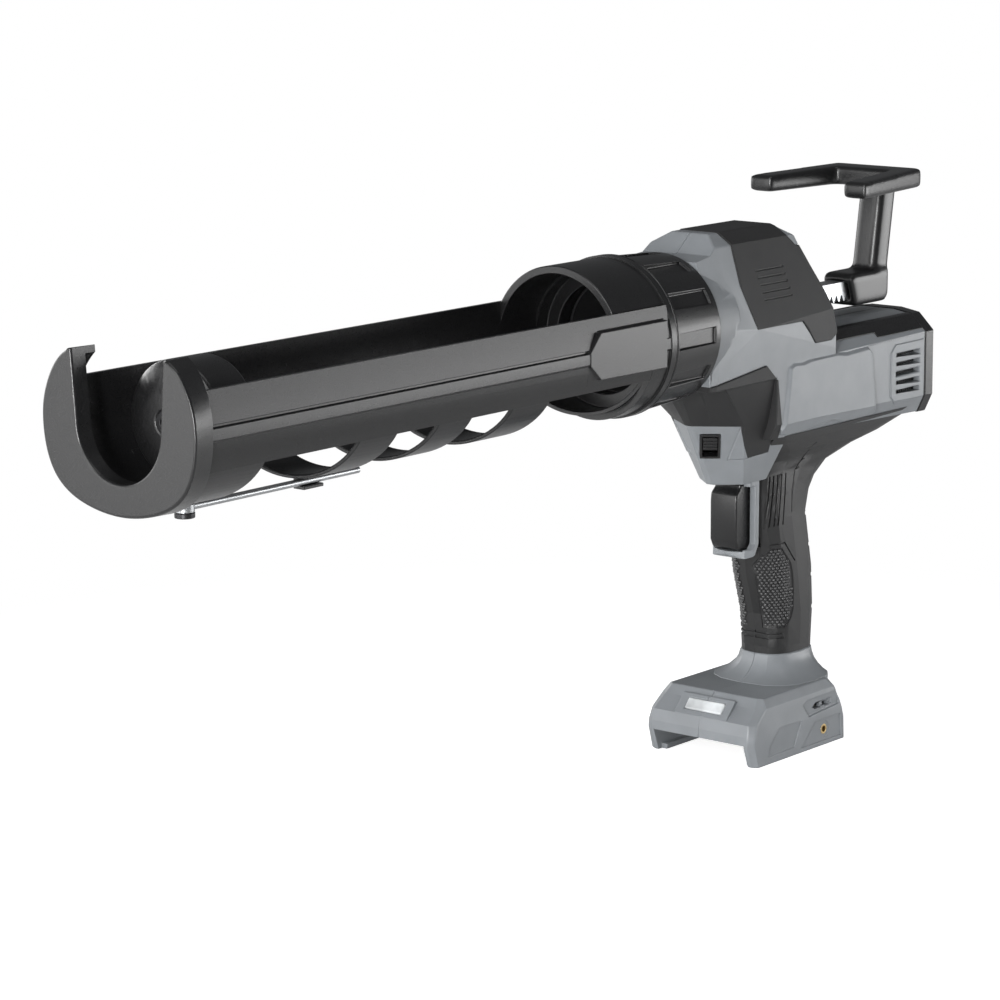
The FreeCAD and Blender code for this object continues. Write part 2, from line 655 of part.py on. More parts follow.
def barrel_socket():
    return whole_barrel().common(rear_of_pad())


def barrel():
    boss = rod_z(ROD_BOSS_R, -TROUGH_R - ROD_BOSS_DROP, RAIL_LOW_Z, ROD_PIVOT_X)
    boss = boss.cut(rod_x(BORE_R, ROD_PIVOT_X - ROD_BOSS_R - OVERRUN, ROD_PIVOT_X + ROD_BOSS_R + OVERRUN))
    trough = whole_barrel().cut(rear_of_pad()).fuse(boss)
    trough = trough.cut(rod_z(ROD_SCREW_R + RUN_GAP, -TROUGH_R - OVERRUN, RAIL_LOW_Z, ROD_PIVOT_X))
    trim_x = TROUGH_LENGTH - CAP_RIM_LENGTH - FIT_GAP
    return trough.cut(tube_x(CAP_SEAT_R + OVERRUN, CAP_SEAT_R, trim_x, TROUGH_LENGTH + OVERRUN))


def cap_ring(x, half, drop):
    """Closed outline of the cap at one place along the barrel, straight on top."""
    sides = [(u * half, v * drop) for u, v in CAP_SHARES]
    outline = sides + [(0, -drop)] + [(-y, z) for y, z in reversed(sides)]
    points = [V(x, y, z) for y, z in outline]
    curve = Part.BSplineCurve()
    curve.interpolate(points)
    return Part.Wire([curve.toShape(), Part.LineSegment(points[-1], points[0]).toShape()])


def front_cap():
    rim_x = TROUGH_LENGTH - CAP_RIM_LENGTH
    nose_x = TROUGH_LENGTH + CAP_FACE_THICK
    rim = cap_ring(rim_x, CAP_SEAT_R + CAP_RIM_LIP, TROUGH_R + CAP_RIM_DROP)
    face = cap_ring(nose_x, CAP_SEAT_R + CAP_FACE_LIP, TROUGH_R + CAP_FACE_DROP)
    cap = Part.makeLoft([rim, face], True, True)
    reach = CAP_SEAT_R + CAP_FACE_LIP + OVERRUN
    start = rim_x - OVERRUN
    end = nose_x + OVERRUN
    sides = rod_x(CAP_SEAT_R + FIT_GAP, start, TROUGH_LENGTH)
    sides = sides.common(box(start, TROUGH_LENGTH, -reach, reach, RAIL_LOW_Z - FIT_GAP, reach))
    seat = sides.fuse(rod_x(TROUGH_R + FIT_GAP, start, TROUGH_LENGTH))
    slot = rod_x(SLOT_HALF, start, end, 0, SLOT_CENTRE_Z)
    mouth = mirror_front([(SLOT_HALF, SLOT_CENTRE_Z), (SLOT_TOP_HALF, CAP_HORN_Z + OVERRUN)])
    crown = box(start, end, -reach, reach, CAP_HORN_Z, reach)
    return cap.cut(seat).cut(slot.fuse(front_prism(mouth, start, end))).cut(crown)


def puncture_rod():
    shaft = rod_x(ROD_R, ROD_PIVOT_X - ROD_LENGTH, ROD_PIVOT_X, 0, ROD_Z)
    eye = rod_z(ROD_EYE_R, ROD_Z - ROD_R, ROD_Z + ROD_R, ROD_PIVOT_X)
    hole = rod_z(ROD_SCREW_R + RUN_GAP, ROD_Z - ROD_R - OVERRUN, ROD_Z + ROD_R + OVERRUN, ROD_PIVOT_X)
    return shaft.fuse(eye).cut(hole)


def rod_pivot_screw():
    head_top = ROD_Z - ROD_R - FIT_GAP
    shank = rod_z(ROD_SCREW_R, head_top, -BORE_R - FIT_GAP, ROD_PIVOT_X)
    return shank.fuse(rod_z(ROD_HEAD_R, head_top - ROD_HEAD_THICK, head_top, ROD_PIVOT_X))


def rod_clip():
    room = ROD_R + FIT_GAP
    low_z = ROD_Z - room - CLIP_LIP
    x0 = CLIP_X - OVERRUN
    x1 = CLIP_X + CLIP_LENGTH + OVERRUN
    block = box(CLIP_X, CLIP_X + CLIP_LENGTH, -CLIP_HALF, CLIP_HALF, low_z, -BORE_R)
    way = box(x0, x1, -room, CLIP_HALF + OVERRUN, ROD_Z - room, ROD_Z + room)
    open_side = box(x0, x1, room, CLIP_HALF + OVERRUN, low_z - OVERRUN, ROD_Z)
    return block.cut(way).cut(open_side).cut(rod_x(TROUGH_R + SEAM_GAP, x0, x1))


# Plunger, rack and pull handle
def plunger():
    rear_r = PLUNGER_R - PLUNGER_CHAMFER / 2
    web_x = PLUNGER_FRONT_X - PLUNGER_DOME - PLUNGER_WEB
    bore = PLUNGER_SCREW_R + RUN_GAP
    disc = turned([
        (PLUNGER_REAR_X, rear_r - PLUNGER_SKIRT), (PLUNGER_REAR_X, rear_r),
        (PLUNGER_REAR_X + PLUNGER_CHAMFER, PLUNGER_R), (PLUNGER_FRONT_X - PLUNGER_DOME, PLUNGER_R),
        (PLUNGER_FRONT_X - PLUNGER_DOME / 2, PLUNGER_R - PLUNGER_DOME / 2),
        (PLUNGER_FRONT_X, PLUNGER_R - 2 * PLUNGER_DOME), (PLUNGER_FRONT_X, bore), (PLUNGER_REAR_X, bore),
        (PLUNGER_REAR_X, PLUNGER_HUB_R), (web_x, PLUNGER_HUB_R), (web_x, rear_r - PLUNGER_SKIRT)])
    sink_x = PLUNGER_FRONT_X - PLUNGER_SCREW_HEAD
    return disc.cut(rod_x(PLUNGER_SCREW_HEAD_R + SEAM_GAP, sink_x, PLUNGER_FRONT_X + OVERRUN))


def plunger_screw():
    head_x = PLUNGER_FRONT_X - PLUNGER_SCREW_HEAD
    head = rod_x(PLUNGER_SCREW_HEAD_R, head_x, PLUNGER_FRONT_X)
    socket = rod_x(PLUNGER_SCREW_R, head_x + PLUNGER_SCREW_HEAD / 2, PLUNGER_FRONT_X + OVERRUN)
    return head.fuse(rod_x(PLUNGER_SCREW_R, PLUNGER_FRONT_X - PLUNGER_SCREW_LENGTH, head_x)).cut(socket)


def rack():
    pitch = math.pi * RACK_MODULE
    root_z = RACK_TIP_Z + (ADDENDUM_SHARE + ROOT_SHARE) * RACK_MODULE
    lean = math.tan(PRESSURE_ANGLE)
    gap_half = pitch / 4 + BACKLASH / 2
    top_half = gap_half - lean * ROOT_SHARE * RACK_MODULE
    low_half = gap_half + lean * ADDENDUM_SHARE * RACK_MODULE
    first = math.ceil((RACK_REAR_X - PINION_X) / pitch) + 1
    last = math.floor((PLUNGER_REAR_X - RACK_PLAIN_LENGTH - PINION_X) / pitch)
    outline = [(PLUNGER_REAR_X, RACK_TOP_Z), (RACK_REAR_X, RACK_TOP_Z), (RACK_REAR_X, RACK_TIP_Z)]
    for step in range(first, last + 1):
        x = PINION_X + step * pitch
        outline += [(x - low_half, RACK_TIP_Z), (x - top_half, root_z)]
        outline += [(x + top_half, root_z), (x + low_half, RACK_TIP_Z)]
    outline.append((PLUNGER_REAR_X, RACK_TIP_Z))
    bar = side_prism(outline, -RACK_HALF, RACK_HALF)
    bar = bar.cut(rod_x(PLUNGER_SCREW_R + RUN_GAP, PLUNGER_FRONT_X - PLUNGER_SCREW_LENGTH, PLUNGER_FRONT_X))
    pin_r = HANDLE_PIN_R + RUN_GAP
    return bar.cut(rod_y(pin_r, -RACK_HALF - OVERRUN, RACK_HALF + OVERRUN, HANDLE_PIN_X, HANDLE_PIN_Z))


def stem_section(z, shift):
    front_x = STEM_FRONT_X - shift
    rear_x = front_x - STEM_DEPTH
    half = [(front_x, STEM_HALF - STEM_CHAMFER), (front_x - STEM_CHAMFER, STEM_HALF),
            (rear_x + STEM_CHAMFER, STEM_HALF), (rear_x, STEM_HALF - STEM_CHAMFER)]
    corners = [V(x, y, z) for x, y in mirror_plan(half)]
    return Part.makePolygon(corners + corners[:1])


def pull_handle():
    outline = [
        (SOCKET_FRONT_X, SOCKET_TOP_Z - STEM_CHAMFER), (SOCKET_FRONT_X - STEM_CHAMFER, SOCKET_TOP_Z),
        (SOCKET_REAR_X, SOCKET_TOP_Z), (SOCKET_REAR_X, SOCKET_LOW_Z + STEM_CHAMFER),
        (SOCKET_REAR_X + STEM_CHAMFER, SOCKET_LOW_Z), (SOCKET_FRONT_X - SOCKET_NOSE, SOCKET_LOW_Z)]
    socket = side_prism(outline, -SOCKET_HALF, SOCKET_HALF)
    stem_top = stem_section(BAR_LOW_Z + STEM_CHAMFER, STEM_LEAN)
    stem = Part.makeLoft([stem_section(RACK_TIP_Z, 0), stem_top], True, True)
    front_x = BAR_REAR_X + BAR_DEPTH
    plan = mirror_plan([(BAR_REAR_X, BAR_HALF), (ARM_FRONT_X, ARM_OUTER_Y), (ARM_FRONT_X, ARM_INNER_Y),
                        (front_x, BAR_INNER_HALF)])
    bar = plan_prism(plan, BAR_LOW_Z - ARM_DROP, BAR_TOP_Z)
    slope = [(BAR_REAR_X, BAR_TOP_Z), (ARM_FRONT_X, BAR_TOP_Z - ARM_DROP), (ARM_FRONT_X, BAR_LOW_Z),
             (BAR_REAR_X, BAR_LOW_Z)]
    bar = bar.common(side_prism(slope, -ARM_OUTER_Y - OVERRUN, ARM_OUTER_Y + OVERRUN))
    whole = fuse([socket, stem, bar])
    room = box(RACK_REAR_X, SOCKET_FRONT_X + OVERRUN, -RACK_HALF - SEAM_GAP, RACK_HALF + SEAM_GAP,
               RACK_TIP_Z - SEAM_GAP, RACK_TOP_Z + SEAM_GAP)
    pin_end = SOCKET_HALF - HANDLE_PIN_COVER
    pin_hole = rod_y(HANDLE_PIN_R + RUN_GAP, -SOCKET_HALF - OVERRUN, pin_end, HANDLE_PIN_X, HANDLE_PIN_Z)
    return whole.cut(room).cut(pin_hole)


def handle_pin():
    return rod_y(HANDLE_PIN_R, -SOCKET_HALF, SOCKET_HALF - HANDLE_PIN_COVER, HANDLE_PIN_X, HANDLE_PIN_Z)


# Collar nut
def collar_nut():
    front_in = SPIGOT_R + RUN_GAP + NECK_WALL + FIT_GAP
    shoulder_x = NECK_REAR_X - FIT_GAP
    rear_in = SPIGOT_R + SPIGOT_STEP + RUN_GAP
    lip_x = COLLAR_FRONT_X - COLLAR_LIP
    nut = turned([
        (COLLAR_REAR_X, rear_in), (COLLAR_REAR_X, COLLAR_REAR_R), (lip_x, COLLAR_R), (lip_x, FLANGE_R),
        (COLLAR_FRONT_X, FLANGE_R), (COLLAR_FRONT_X, front_in), (shoulder_x, front_in),
        (shoulder_x, rear_in)])
    for step in range(FLUTE_COUNT):
        flute = box(COLLAR_REAR_X + FLUTE_STOP, lip_x, -FLUTE_WIDTH / 2, FLUTE_WIDTH / 2,
                    COLLAR_REAR_R - FLUTE_DEPTH, COLLAR_R + OVERRUN)
        flute.rotate(V(0, 0, 0), V(1, 0, 0), FULL_TURN * step / FLUTE_COUNT)
        nut = nut.cut(flute)
    return nut


# Gears
def involute(angle):
    return math.tan(angle) - angle


def tooth_flanks(teeth, module, tip_share, root_share, slack):
    """Radius and half-angle pairs that go once round one tooth; teeth may be a fraction."""
    pitch_r = teeth * module / 2
    base_r = pitch_r * math.cos(PRESSURE_ANGLE)
    tip_r = pitch_r + tip_share * module
    root_r = pitch_r - root_share * module
    start_r = max(base_r, root_r)
    half = (math.pi * module / 2 - slack) / (2 * pitch_r) + involute(PRESSURE_ANGLE)
    flank = []
    for step in range(FLANK_STEPS + 1):
        r = start_r + (tip_r - start_r) * step / FLANK_STEPS
        flank.append((r, half - involute(math.acos(min(1, base_r / r)))))
    if root_r < base_r:
        flank.insert(0, (root_r, flank[0][1]))
    return [(r, -a) for r, a in flank] + [(r, a) for r, a in reversed(flank)]


def gear_outline(teeth, module, tip_share, root_share, slack, first_angle):
    """One closed outline whose first tooth points along first_angle."""
    tooth = tooth_flanks(teeth, module, tip_share, root_share, slack)
    points = []
    for index in range(teeth):
        turn = first_angle + 2 * math.pi * index / teeth
        points += [(r * math.cos(turn + a), r * math.sin(turn + a)) for r, a in tooth]
    return points


def spur(teeth, y0, y1, z, first_angle):
    """A gear about Y on the train's centre line; angles run from +X towards +Z."""
    outline = gear_outline(teeth, RACK_MODULE, ADDENDUM_SHARE, ROOT_SHARE, BACKLASH, first_angle)
    gear = side_prism([(PINION_X + a, z + b) for a, b in outline], y0, y1)
    return gear.cut(rod_y(SHAFT_R + RUN_GAP, y0 - OVERRUN, y1 + OVERRUN, PINION_X, z))


def rack_pinion():
    return spur(RACK_PINION_TEETH, -PINION_FACE / 2, PINION_FACE / 2, PINION_Z, math.pi / 2)


def spur_gear():
    return spur(SPUR_GEAR_TEETH, SPUR_SIDE_Y - SPUR_FACE, SPUR_SIDE_Y, PINION_Z, -math.pi / 2)


def spur_pinion():
    gap_up = math.pi / 2 + math.pi / SPUR_PINION_TEETH
    return spur(SPUR_PINION_TEETH, SPUR_SIDE_Y - SPUR_FACE, SPUR_SIDE_Y, CROSS_Z, gap_up)


def cross_bar(z):
    return rod_y(SHAFT_R, -PLATE_OUT_Y, PLATE_OUT_Y, PINION_X, z)


def bevel_ring(teeth, mate_teeth, first_angle, at):
    """Outline of a bevel gear's large or small end on a flat plane at a distance from the apex."""
    cone = math.atan2(teeth, mate_teeth)
    apex_r = teeth * BEVEL_MODULE / 2 / math.sin(cone)
    tooth = tooth_flanks(teeth / math.cos(cone), BEVEL_MODULE, ADDENDUM_SHARE, ROOT_SHARE, BACKLASH)
    points = []
    for index in range(teeth):
        turn = first_angle + 2 * math.pi * index / teeth
        for r, a in tooth:
            spread = a / math.cos(cone)
            out = r * math.cos(cone) * at / (apex_r / math.cos(cone) - r * math.sin(cone))
            points.append((out * math.cos(turn + spread), out * math.sin(turn + spread)))
    return points


def loft(rings):
    return Part.makeLoft([Part.makePolygon(ring + ring[:1]) for ring in rings], True, True)


def bevel_gear():
    rings = []
    for share in (1, BEVEL_SMALL_SHARE):
        at = BEVEL_PINION_R * share
        points = bevel_ring(BEVEL_GEAR_TEETH, BEVEL_PINION_TEETH, math.pi + math.pi / BEVEL_GEAR_TEETH, at)
        rings.append([V(PINION_X + a, at, CROSS_Z + b) for a, b in points])
    hub = rod_y(BEVEL_HUB_R, BEVEL_PINION_R, PLATE_Y - FIT_GAP, PINION_X, CROSS_Z)
    bore = rod_y(SHAFT_R + RUN_GAP, -OVERRUN, PLATE_OUT_Y, PINION_X, CROSS_Z)
    return loft(rings).fuse(hub).cut(bore)


def bevel_pinion():
    rings = []
    for share in (1, BEVEL_SMALL_SHARE):
        at = BEVEL_GEAR_R * share
        points = bevel_ring(BEVEL_PINION_TEETH, BEVEL_GEAR_TEETH, 0, at)
        rings.append([V(PINION_X - at, a, CROSS_Z + b) for a, b in points])
    bore = rod_x(OUTPUT_R + RUN_GAP, BEVEL_BACK_X - OVERRUN, PINION_X, 0, CROSS_Z)
    return loft(rings).cut(bore)


def planet_places():
    places = []
    for index in range(PLANET_COUNT):
        turn = 2 * math.pi * index / PLANET_COUNT
        places.append((PLANET_CENTRE_R * math.cos(turn), CROSS_Z + PLANET_CENTRE_R * math.sin(turn), turn))
    return places


def planet_carrier():
    plate = rod_x(CARRIER_R, CARRIER_BACK_X, CARRIER_FRONT_X, 0, CROSS_Z)
    small_end = PINION_X - BEVEL_GEAR_R * BEVEL_SMALL_SHARE
    pieces = [plate, rod_x(OUTPUT_R, CARRIER_FRONT_X, small_end, 0, CROSS_Z)]
    pieces += [rod_x(PLANET_PIN_R, PLANET_BACK_X, CARRIER_BACK_X, y, z) for y, z, turn in planet_places()]
    return fuse(pieces)


def planet_gear(y, z, turn):
    first = turn + math.pi + math.pi / PLANET_TEETH
    outline = gear_outline(PLANET_TEETH, PLANET_MODULE, ADDENDUM_SHARE, ROOT_SHARE, BACKLASH, first)
    gear = front_prism([(y + a, z + b) for a, b in outline], PLANET_BACK_X, PLANET_FRONT_X)
    return gear.cut(rod_x(PLANET_PIN_R + RUN_GAP, PLANET_BACK_X - OVERRUN, PLANET_FRONT_X + OVERRUN, y, z))


def sun_gear():
    outline = gear_outline(SUN_TEETH, PLANET_MODULE, ADDENDUM_SHARE, ROOT_SHARE, BACKLASH, 0)
    gear = front_prism([(a, CROSS_Z + b) for a, b in outline], PLANET_BACK_X, PLANET_FRONT_X)
    bore_r = ROTOR_SHAFT_R + RUN_GAP
    return gear.cut(rod_x(bore_r, PLANET_BACK_X - OVERRUN, PLANET_FRONT_X + OVERRUN, 0, CROSS_Z))


def ring_gear():
    gap_first = math.pi / RING_TEETH
    outline = gear_outline(RING_TEETH, PLANET_MODULE, ROOT_SHARE, RING_TIP_SHARE, -BACKLASH, gap_first)
    body = rod_x(RING_R, RING_REAR_X, CASE_REAR_X, 0, CROSS_Z)
    section = [(a, CROSS_Z + b) for a, b in outline]
    body = body.cut(front_prism(section, RING_REAR_X - OVERRUN, CASE_REAR_X + OVERRUN))
    return body.cut(rod_x(RING_MOUTH_R, CASE_REAR_X - RING_MOUTH_LENGTH, CASE_REAR_X + OVERRUN, 0, CROSS_Z))


# Gear case and bushes
def rack_window(x0, x1):
    room = RACK_HALF + FIT_GAP
    return box(x0, x1, -room, room, RACK_TIP_Z - FIT_GAP, RACK_TOP_Z + FIT_GAP)


def gear_case():
    disc_rear = CASE_FRONT_X - CASE_DISC
    side = [(disc_rear, CASE_TOP_Z), (disc_rear, CASE_STEP_Z), (CASE_STEP_X, CASE_STEP_Z),
            (CASE_STEP_X, CASE_LOW_Z),
            (CASE_REAR_X, CASE_LOW_Z), (CASE_REAR_X, CASE_TOP_Z)]
    plates = both_sides(side_prism(side, PLATE_Y, PLATE_OUT_Y))
    top = box(CASE_REAR_X, disc_rear, -PLATE_OUT_Y, PLATE_OUT_Y, CASE_TOP_Z - CASE_BRIDGE, CASE_TOP_Z)
    back = box(CASE_REAR_X, CASE_REAR_X + CASE_BRIDGE, -PLATE_OUT_Y, PLATE_OUT_Y, CASE_LOW_Z, CASE_TOP_Z)
    disc = rod_x(CASE_DISC_R, disc_rear, CASE_FRONT_X)
    spigot = tube_x(SPIGOT_R, SPIGOT_BORE_R, CASE_FRONT_X, SPIGOT_FRONT_X)
    step = tube_x(SPIGOT_R + SPIGOT_STEP, SPIGOT_BORE_R, CASE_FRONT_X, NECK_REAR_X - FIT_GAP)
    case = fuse(plates + [top, back, disc, spigot, step])
    for z in (PINION_Z, CROSS_Z):
        case = case.cut(rod_y(BUSH_R + RUN_GAP, -PLATE_OUT_Y - OVERRUN, PLATE_OUT_Y + OVERRUN, PINION_X, z))
    bush_front_x = CASE_REAR_X + CASE_BRIDGE + OVERRUN
    case = case.cut(rod_x(BUSH_R + RUN_GAP, CASE_REAR_X - OVERRUN, bush_front_x, 0, CROSS_Z))
    return case.cut(rack_window(CASE_REAR_X - OVERRUN, CASE_FRONT_X + OVERRUN))


def shaft_bushes():
    bushes = []
    for z in (PINION_Z, CROSS_Z):
        bushes += both_sides(tube_y(BUSH_R, SHAFT_R + RUN_GAP, PLATE_Y, PLATE_OUT_Y, PINION_X, z))
    return Part.makeCompound(bushes)


def output_bush():
    return tube_x(BUSH_R, OUTPUT_R + RUN_GAP, CASE_REAR_X, CASE_REAR_X + CASE_BRIDGE, CROSS_Z)


def rack_guide():
    top_z = CASE_TOP_Z - CASE_BRIDGE
    start = PINION_X - GUIDE_LENGTH / 2
    return box(start, start + GUIDE_LENGTH, -GUIDE_HALF, GUIDE_HALF, RACK_TOP_Z + FIT_GAP, top_z)


# Motor
def motor_can():
    can = rod_x(MOTOR_R, MOTOR_REAR_X, RING_REAR_X, 0, CROSS_Z)
    room = rod_x(MOTOR_R - MOTOR_WALL, MOTOR_REAR_X + MOTOR_END, RING_REAR_X - MOTOR_END, 0, CROSS_Z)
    bore = rod_x(MOTOR_BEARING_R + RUN_GAP, MOTOR_REAR_X - OVERRUN, RING_REAR_X + OVERRUN, 0, CROSS_Z)
    return can.cut(room).cut(bore)


def motor_bearings():
    rear = tube_x(MOTOR_BEARING_R, ROTOR_SHAFT_R + RUN_GAP, MOTOR_REAR_X, MOTOR_REAR_X + MOTOR_END, CROSS_Z)
    front = tube_x(MOTOR_BEARING_R, ROTOR_SHAFT_R + RUN_GAP, RING_REAR_X - MOTOR_END, RING_REAR_X, CROSS_Z)
    return Part.makeCompound([rear, front])


def stator():
    middle = (MOTOR_REAR_X + RING_REAR_X) / 2
    x0 = middle - STATOR_LENGTH / 2
    x1 = middle + STATOR_LENGTH / 2
    ring = tube_x(MOTOR_R - MOTOR_WALL - RUN_GAP, STATOR_INNER_R, x0, x1, CROSS_Z)
    reach = (MOTOR_R - MOTOR_WALL + STATOR_INNER_R) / 2
    for index in range(STATOR_TEETH):
        slot = box(x0 - OVERRUN, x1 + OVERRUN, -STATOR_SLOT / 2, STATOR_SLOT / 2, 0, reach)
        slot.rotate(V(0, 0, 0), V(1, 0, 0), FULL_TURN * index / STATOR_TEETH)
        slot.translate(V(0, 0, CROSS_Z))
        ring = ring.cut(slot)
    return ring


def rotor():
    middle = (MOTOR_REAR_X + RING_REAR_X) / 2
    core = rod_x(ROTOR_R, middle - ROTOR_LENGTH / 2, middle + ROTOR_LENGTH / 2, 0, CROSS_Z)
    return core.fuse(rod_x(ROTOR_SHAFT_R, FAN_FRONT_X - FAN_LENGTH, PLANET_FRONT_X, 0, CROSS_Z))


def cooling_fan():
    back_x = FAN_FRONT_X - FAN_LENGTH
    pieces = [rod_x(FAN_HUB_R, back_x, FAN_FRONT_X, 0, CROSS_Z)]
    pieces.append(rod_x(FAN_R, back_x, back_x + FAN_BLADE, 0, CROSS_Z))
    for index in range(FAN_BLADES):
        blade = box(back_x, FAN_FRONT_X, -FAN_BLADE / 2, FAN_BLADE / 2, 0, FAN_R)
        blade.rotate(V(0, 0, 0), V(1, 0, 0), FULL_TURN * index / FAN_BLADES)
        blade.translate(V(0, 0, CROSS_Z))
        pieces.append(blade.common(rod_x(FAN_R, back_x, FAN_FRONT_X, 0, CROSS_Z)))
    bore = rod_x(ROTOR_SHAFT_R + RUN_GAP, back_x - OVERRUN, FAN_FRONT_X + OVERRUN, 0, CROSS_Z)
    return fuse(pieces).cut(bore)


# Housing bodies, each grown or shrunk by a distance
def gear_body(grow):
    side = side_prism(grow_outline(body_side(GEAR_SIDE_SHARES), grow), -BODY_LENGTH, BODY_LENGTH)
    front = front_prism(grow_outline(body_front(GEAR_FRONT_SHARES, GEAR_HALF), grow), -2 * BODY_LENGTH, 0)
    plan = plan_prism(grow_outline(body_plan(GEAR_PLAN_SHARES, GEAR_HALF), grow), -BODY_LENGTH, BODY_LENGTH)
    return side.common(front).common(plan)


def motor_body(grow, x0, x1):
    side = side_prism(grow_outline(body_side(MOTOR_SIDE_SHARES), grow), -BODY_LENGTH, BODY_LENGTH)
    front = front_prism(grow_outline(body_front(MOTOR_FRONT_SHARES, MOTOR_HALF), grow), x0, x1)
    plan = plan_prism(grow_outline(body_plan(MOTOR_PLAN_SHARES, MOTOR_HALF), grow), -BODY_LENGTH, BODY_LENGTH)
    return side.common(front).common(plan)


def chin_ring(shares, z, grow):
    half = [(CHIN_FRONT_X - u * CHIN_DEPTH, v * CHIN_HALF) for u, v in shares]
    return [V(x, y, z) for x, y in grow_outline(mirror_plan(half), grow)]


def chin_body(grow):
    rings = [chin_ring(CHIN_TOP_SHARES, CHIN_TOP_Z, grow), chin_ring(CHIN_MID_SHARES, CHIN_MID_Z, grow),
             chin_ring(NOSE_LOW_SHARES, NOSE_LOW_Z, grow)]
    return fuse([loft(rings[:2]), loft(rings[1:])])


def ring_body(grow):
    end_x = BODY_FRONT_X - NOSE_RING_LENGTH
    front = (BODY_FRONT_X, NOSE_RING_R + grow)
    return turned([(BODY_FRONT_X, 0), front, (end_x, NOSE_RING_END_R + grow), (end_x, 0)])


def outer_body(grow):
    front_x = BODY_FRONT_X - MOTOR_FRONT_SHARE * BODY_LENGTH
    return fuse([gear_body(grow), motor_body(grow, BODY_REAR_X, front_x), chin_body(grow), ring_body(grow)])


# Grip levels
def grip_ring(level, grow):
    drop, front, rear, width, square = level
    front_x = GRIP_CENTRE_X + front * GRIP_DEPTH + grow
    rear_x = GRIP_CENTRE_X - rear * GRIP_DEPTH - grow
    return half_oval(front_x, rear_x, width * GRIP_HALF + grow, square, GRIP_TOP_Z - drop * GRIP_SPAN)


def half_oval(front_x, rear_x, half, square, z):
    middle = (front_x + rear_x) / 2
    points = []
    for index in range(GRIP_POINTS):
        turn = math.pi * index / (GRIP_POINTS - 1)
        along = math.copysign(abs(math.cos(turn)) ** (2 / square), math.cos(turn))
        across = abs(math.sin(turn)) ** (2 / square) if 0 < index < GRIP_POINTS - 1 else 0
        points.append(V(middle + along * (front_x - rear_x) / 2, across * half, z))
    return points


def grip_half(grow):
    rings = [grip_ring(level, grow) for level in GRIP_LEVEL_SHARES]
    return fuse([loft(list(pair)) for pair in zip(rings, rings[1:])])


def foot_outline(shares):
    return [(FOOT_FRONT_X - u * FOOT_LENGTH, FOOT_TOP_Z - v * FOOT_HEIGHT) for u, v in shares]


def foot_ring(level):
    drop, shares = level
    half = [(FOOT_FRONT_X - u * FOOT_LENGTH, v * FOOT_HALF) for u, v in shares]
    return [V(x, y, FOOT_TOP_Z - drop * FOOT_HEIGHT) for x, y in mirror_plan(half)]


def neck_ring(level):
    drop, spread = level
    front, rear, width, square = GRIP_LEVEL_SHARES[-1][1:]
    grow = spread * GRIP_HALF
    front_x = GRIP_CENTRE_X + front * GRIP_DEPTH + grow
    rear_x = GRIP_CENTRE_X - rear * GRIP_DEPTH - FOOT_NECK_REAR_SHARE * grow
    return half_oval(front_x, rear_x, width * GRIP_HALF + grow, square, FOOT_TOP_Z - drop * FOOT_HEIGHT)


def foot_body():
    rings = [foot_ring(level) for level in FOOT_RING_SHARES]
    block = fuse([loft(list(pair)) for pair in zip(rings, rings[1:])])
    rings = [neck_ring(level) for level in FOOT_NECK_SHARES]
    neck = fuse([loft(list(pair)) for pair in zip(rings, rings[1:])])
    return fuse([block] + both_sides(neck))


# Regions of the black skins
def cover_region():
    return side_prism(body_side(COVER_SHARES), -BODY_LENGTH, BODY_LENGTH)


def band_region():
    fore = front_prism([(u * MOTOR_HALF, v * BODY_HEIGHT) for u, v in BAND_SHARES], BAND_STEP_X, BAND_FRONT_X)
    step = [(u * MOTOR_HALF, v * BODY_HEIGHT) for u, v in BAND_STEP_SHARES]
    aft = front_prism(step, BODY_REAR_X, BAND_STEP_X)
    return fuse([fore, aft])


def chin_region():
    return side_prism(body_side(CHIN_PANEL_SHARES), 0, BODY_LENGTH)


def housing_room():
    """Everything hollowed out of the two housings."""
    front_x = BODY_FRONT_X - MOTOR_FRONT_SHARE * BODY_LENGTH
    shrink = -SKIN_DEPTH - SHELL_WALL / 2
    nose_floor = box(-BODY_LENGTH, 0, -BODY_LENGTH, BODY_LENGTH, NOSE_LOW_Z + NOSE_FLOOR, BODY_LENGTH)
    motor = motor_body(shrink, BODY_REAR_X - OVERRUN, front_x)
    pieces = [gear_body(shrink), motor, chin_body(shrink).common(nose_floor)]
    pieces.append(rod_x(max(MOTOR_R, RING_R) + FIT_GAP, MOTOR_REAR_X, CASE_REAR_X, 0, CROSS_Z))
    pieces.append(rod_x(BODY_HOLE_R, BODY_FRONT_X - CASE_DISC - OVERRUN, BODY_FRONT_X + OVERRUN))
    case_half = PLATE_OUT_Y + FIT_GAP
    low_z = DRIVE_ROOM_LOW_Z
    pieces.append(box(CASE_REAR_X - OVERRUN, CASE_STEP_X + FIT_GAP, -case_half, case_half, low_z, 0))
    pieces.append(box(CASE_REAR_X, DRIVE_ROOM_FRONT_X, -DRIVE_ROOM_HALF, DRIVE_ROOM_HALF, low_z, 0))
    grip = [(GRIP_CENTRE_X + u * GRIP_DEPTH, GRIP_TOP_Z - v * GRIP_SPAN) for u, v in GRIP_ROOM_SHARES]
    pieces.append(side_prism(grip, -GRIP_ROOM_HALF, GRIP_ROOM_HALF))
    pieces.append(box(FOOT_ROOM_REAR_X, FOOT_ROOM_FRONT_X, -FOOT_ROOM_HALF, FOOT_ROOM_HALF,
                      BAY_ROOF_Z + BAY_ROOF, FOOT_ROOM_TOP_Z))
    return fuse(pieces)


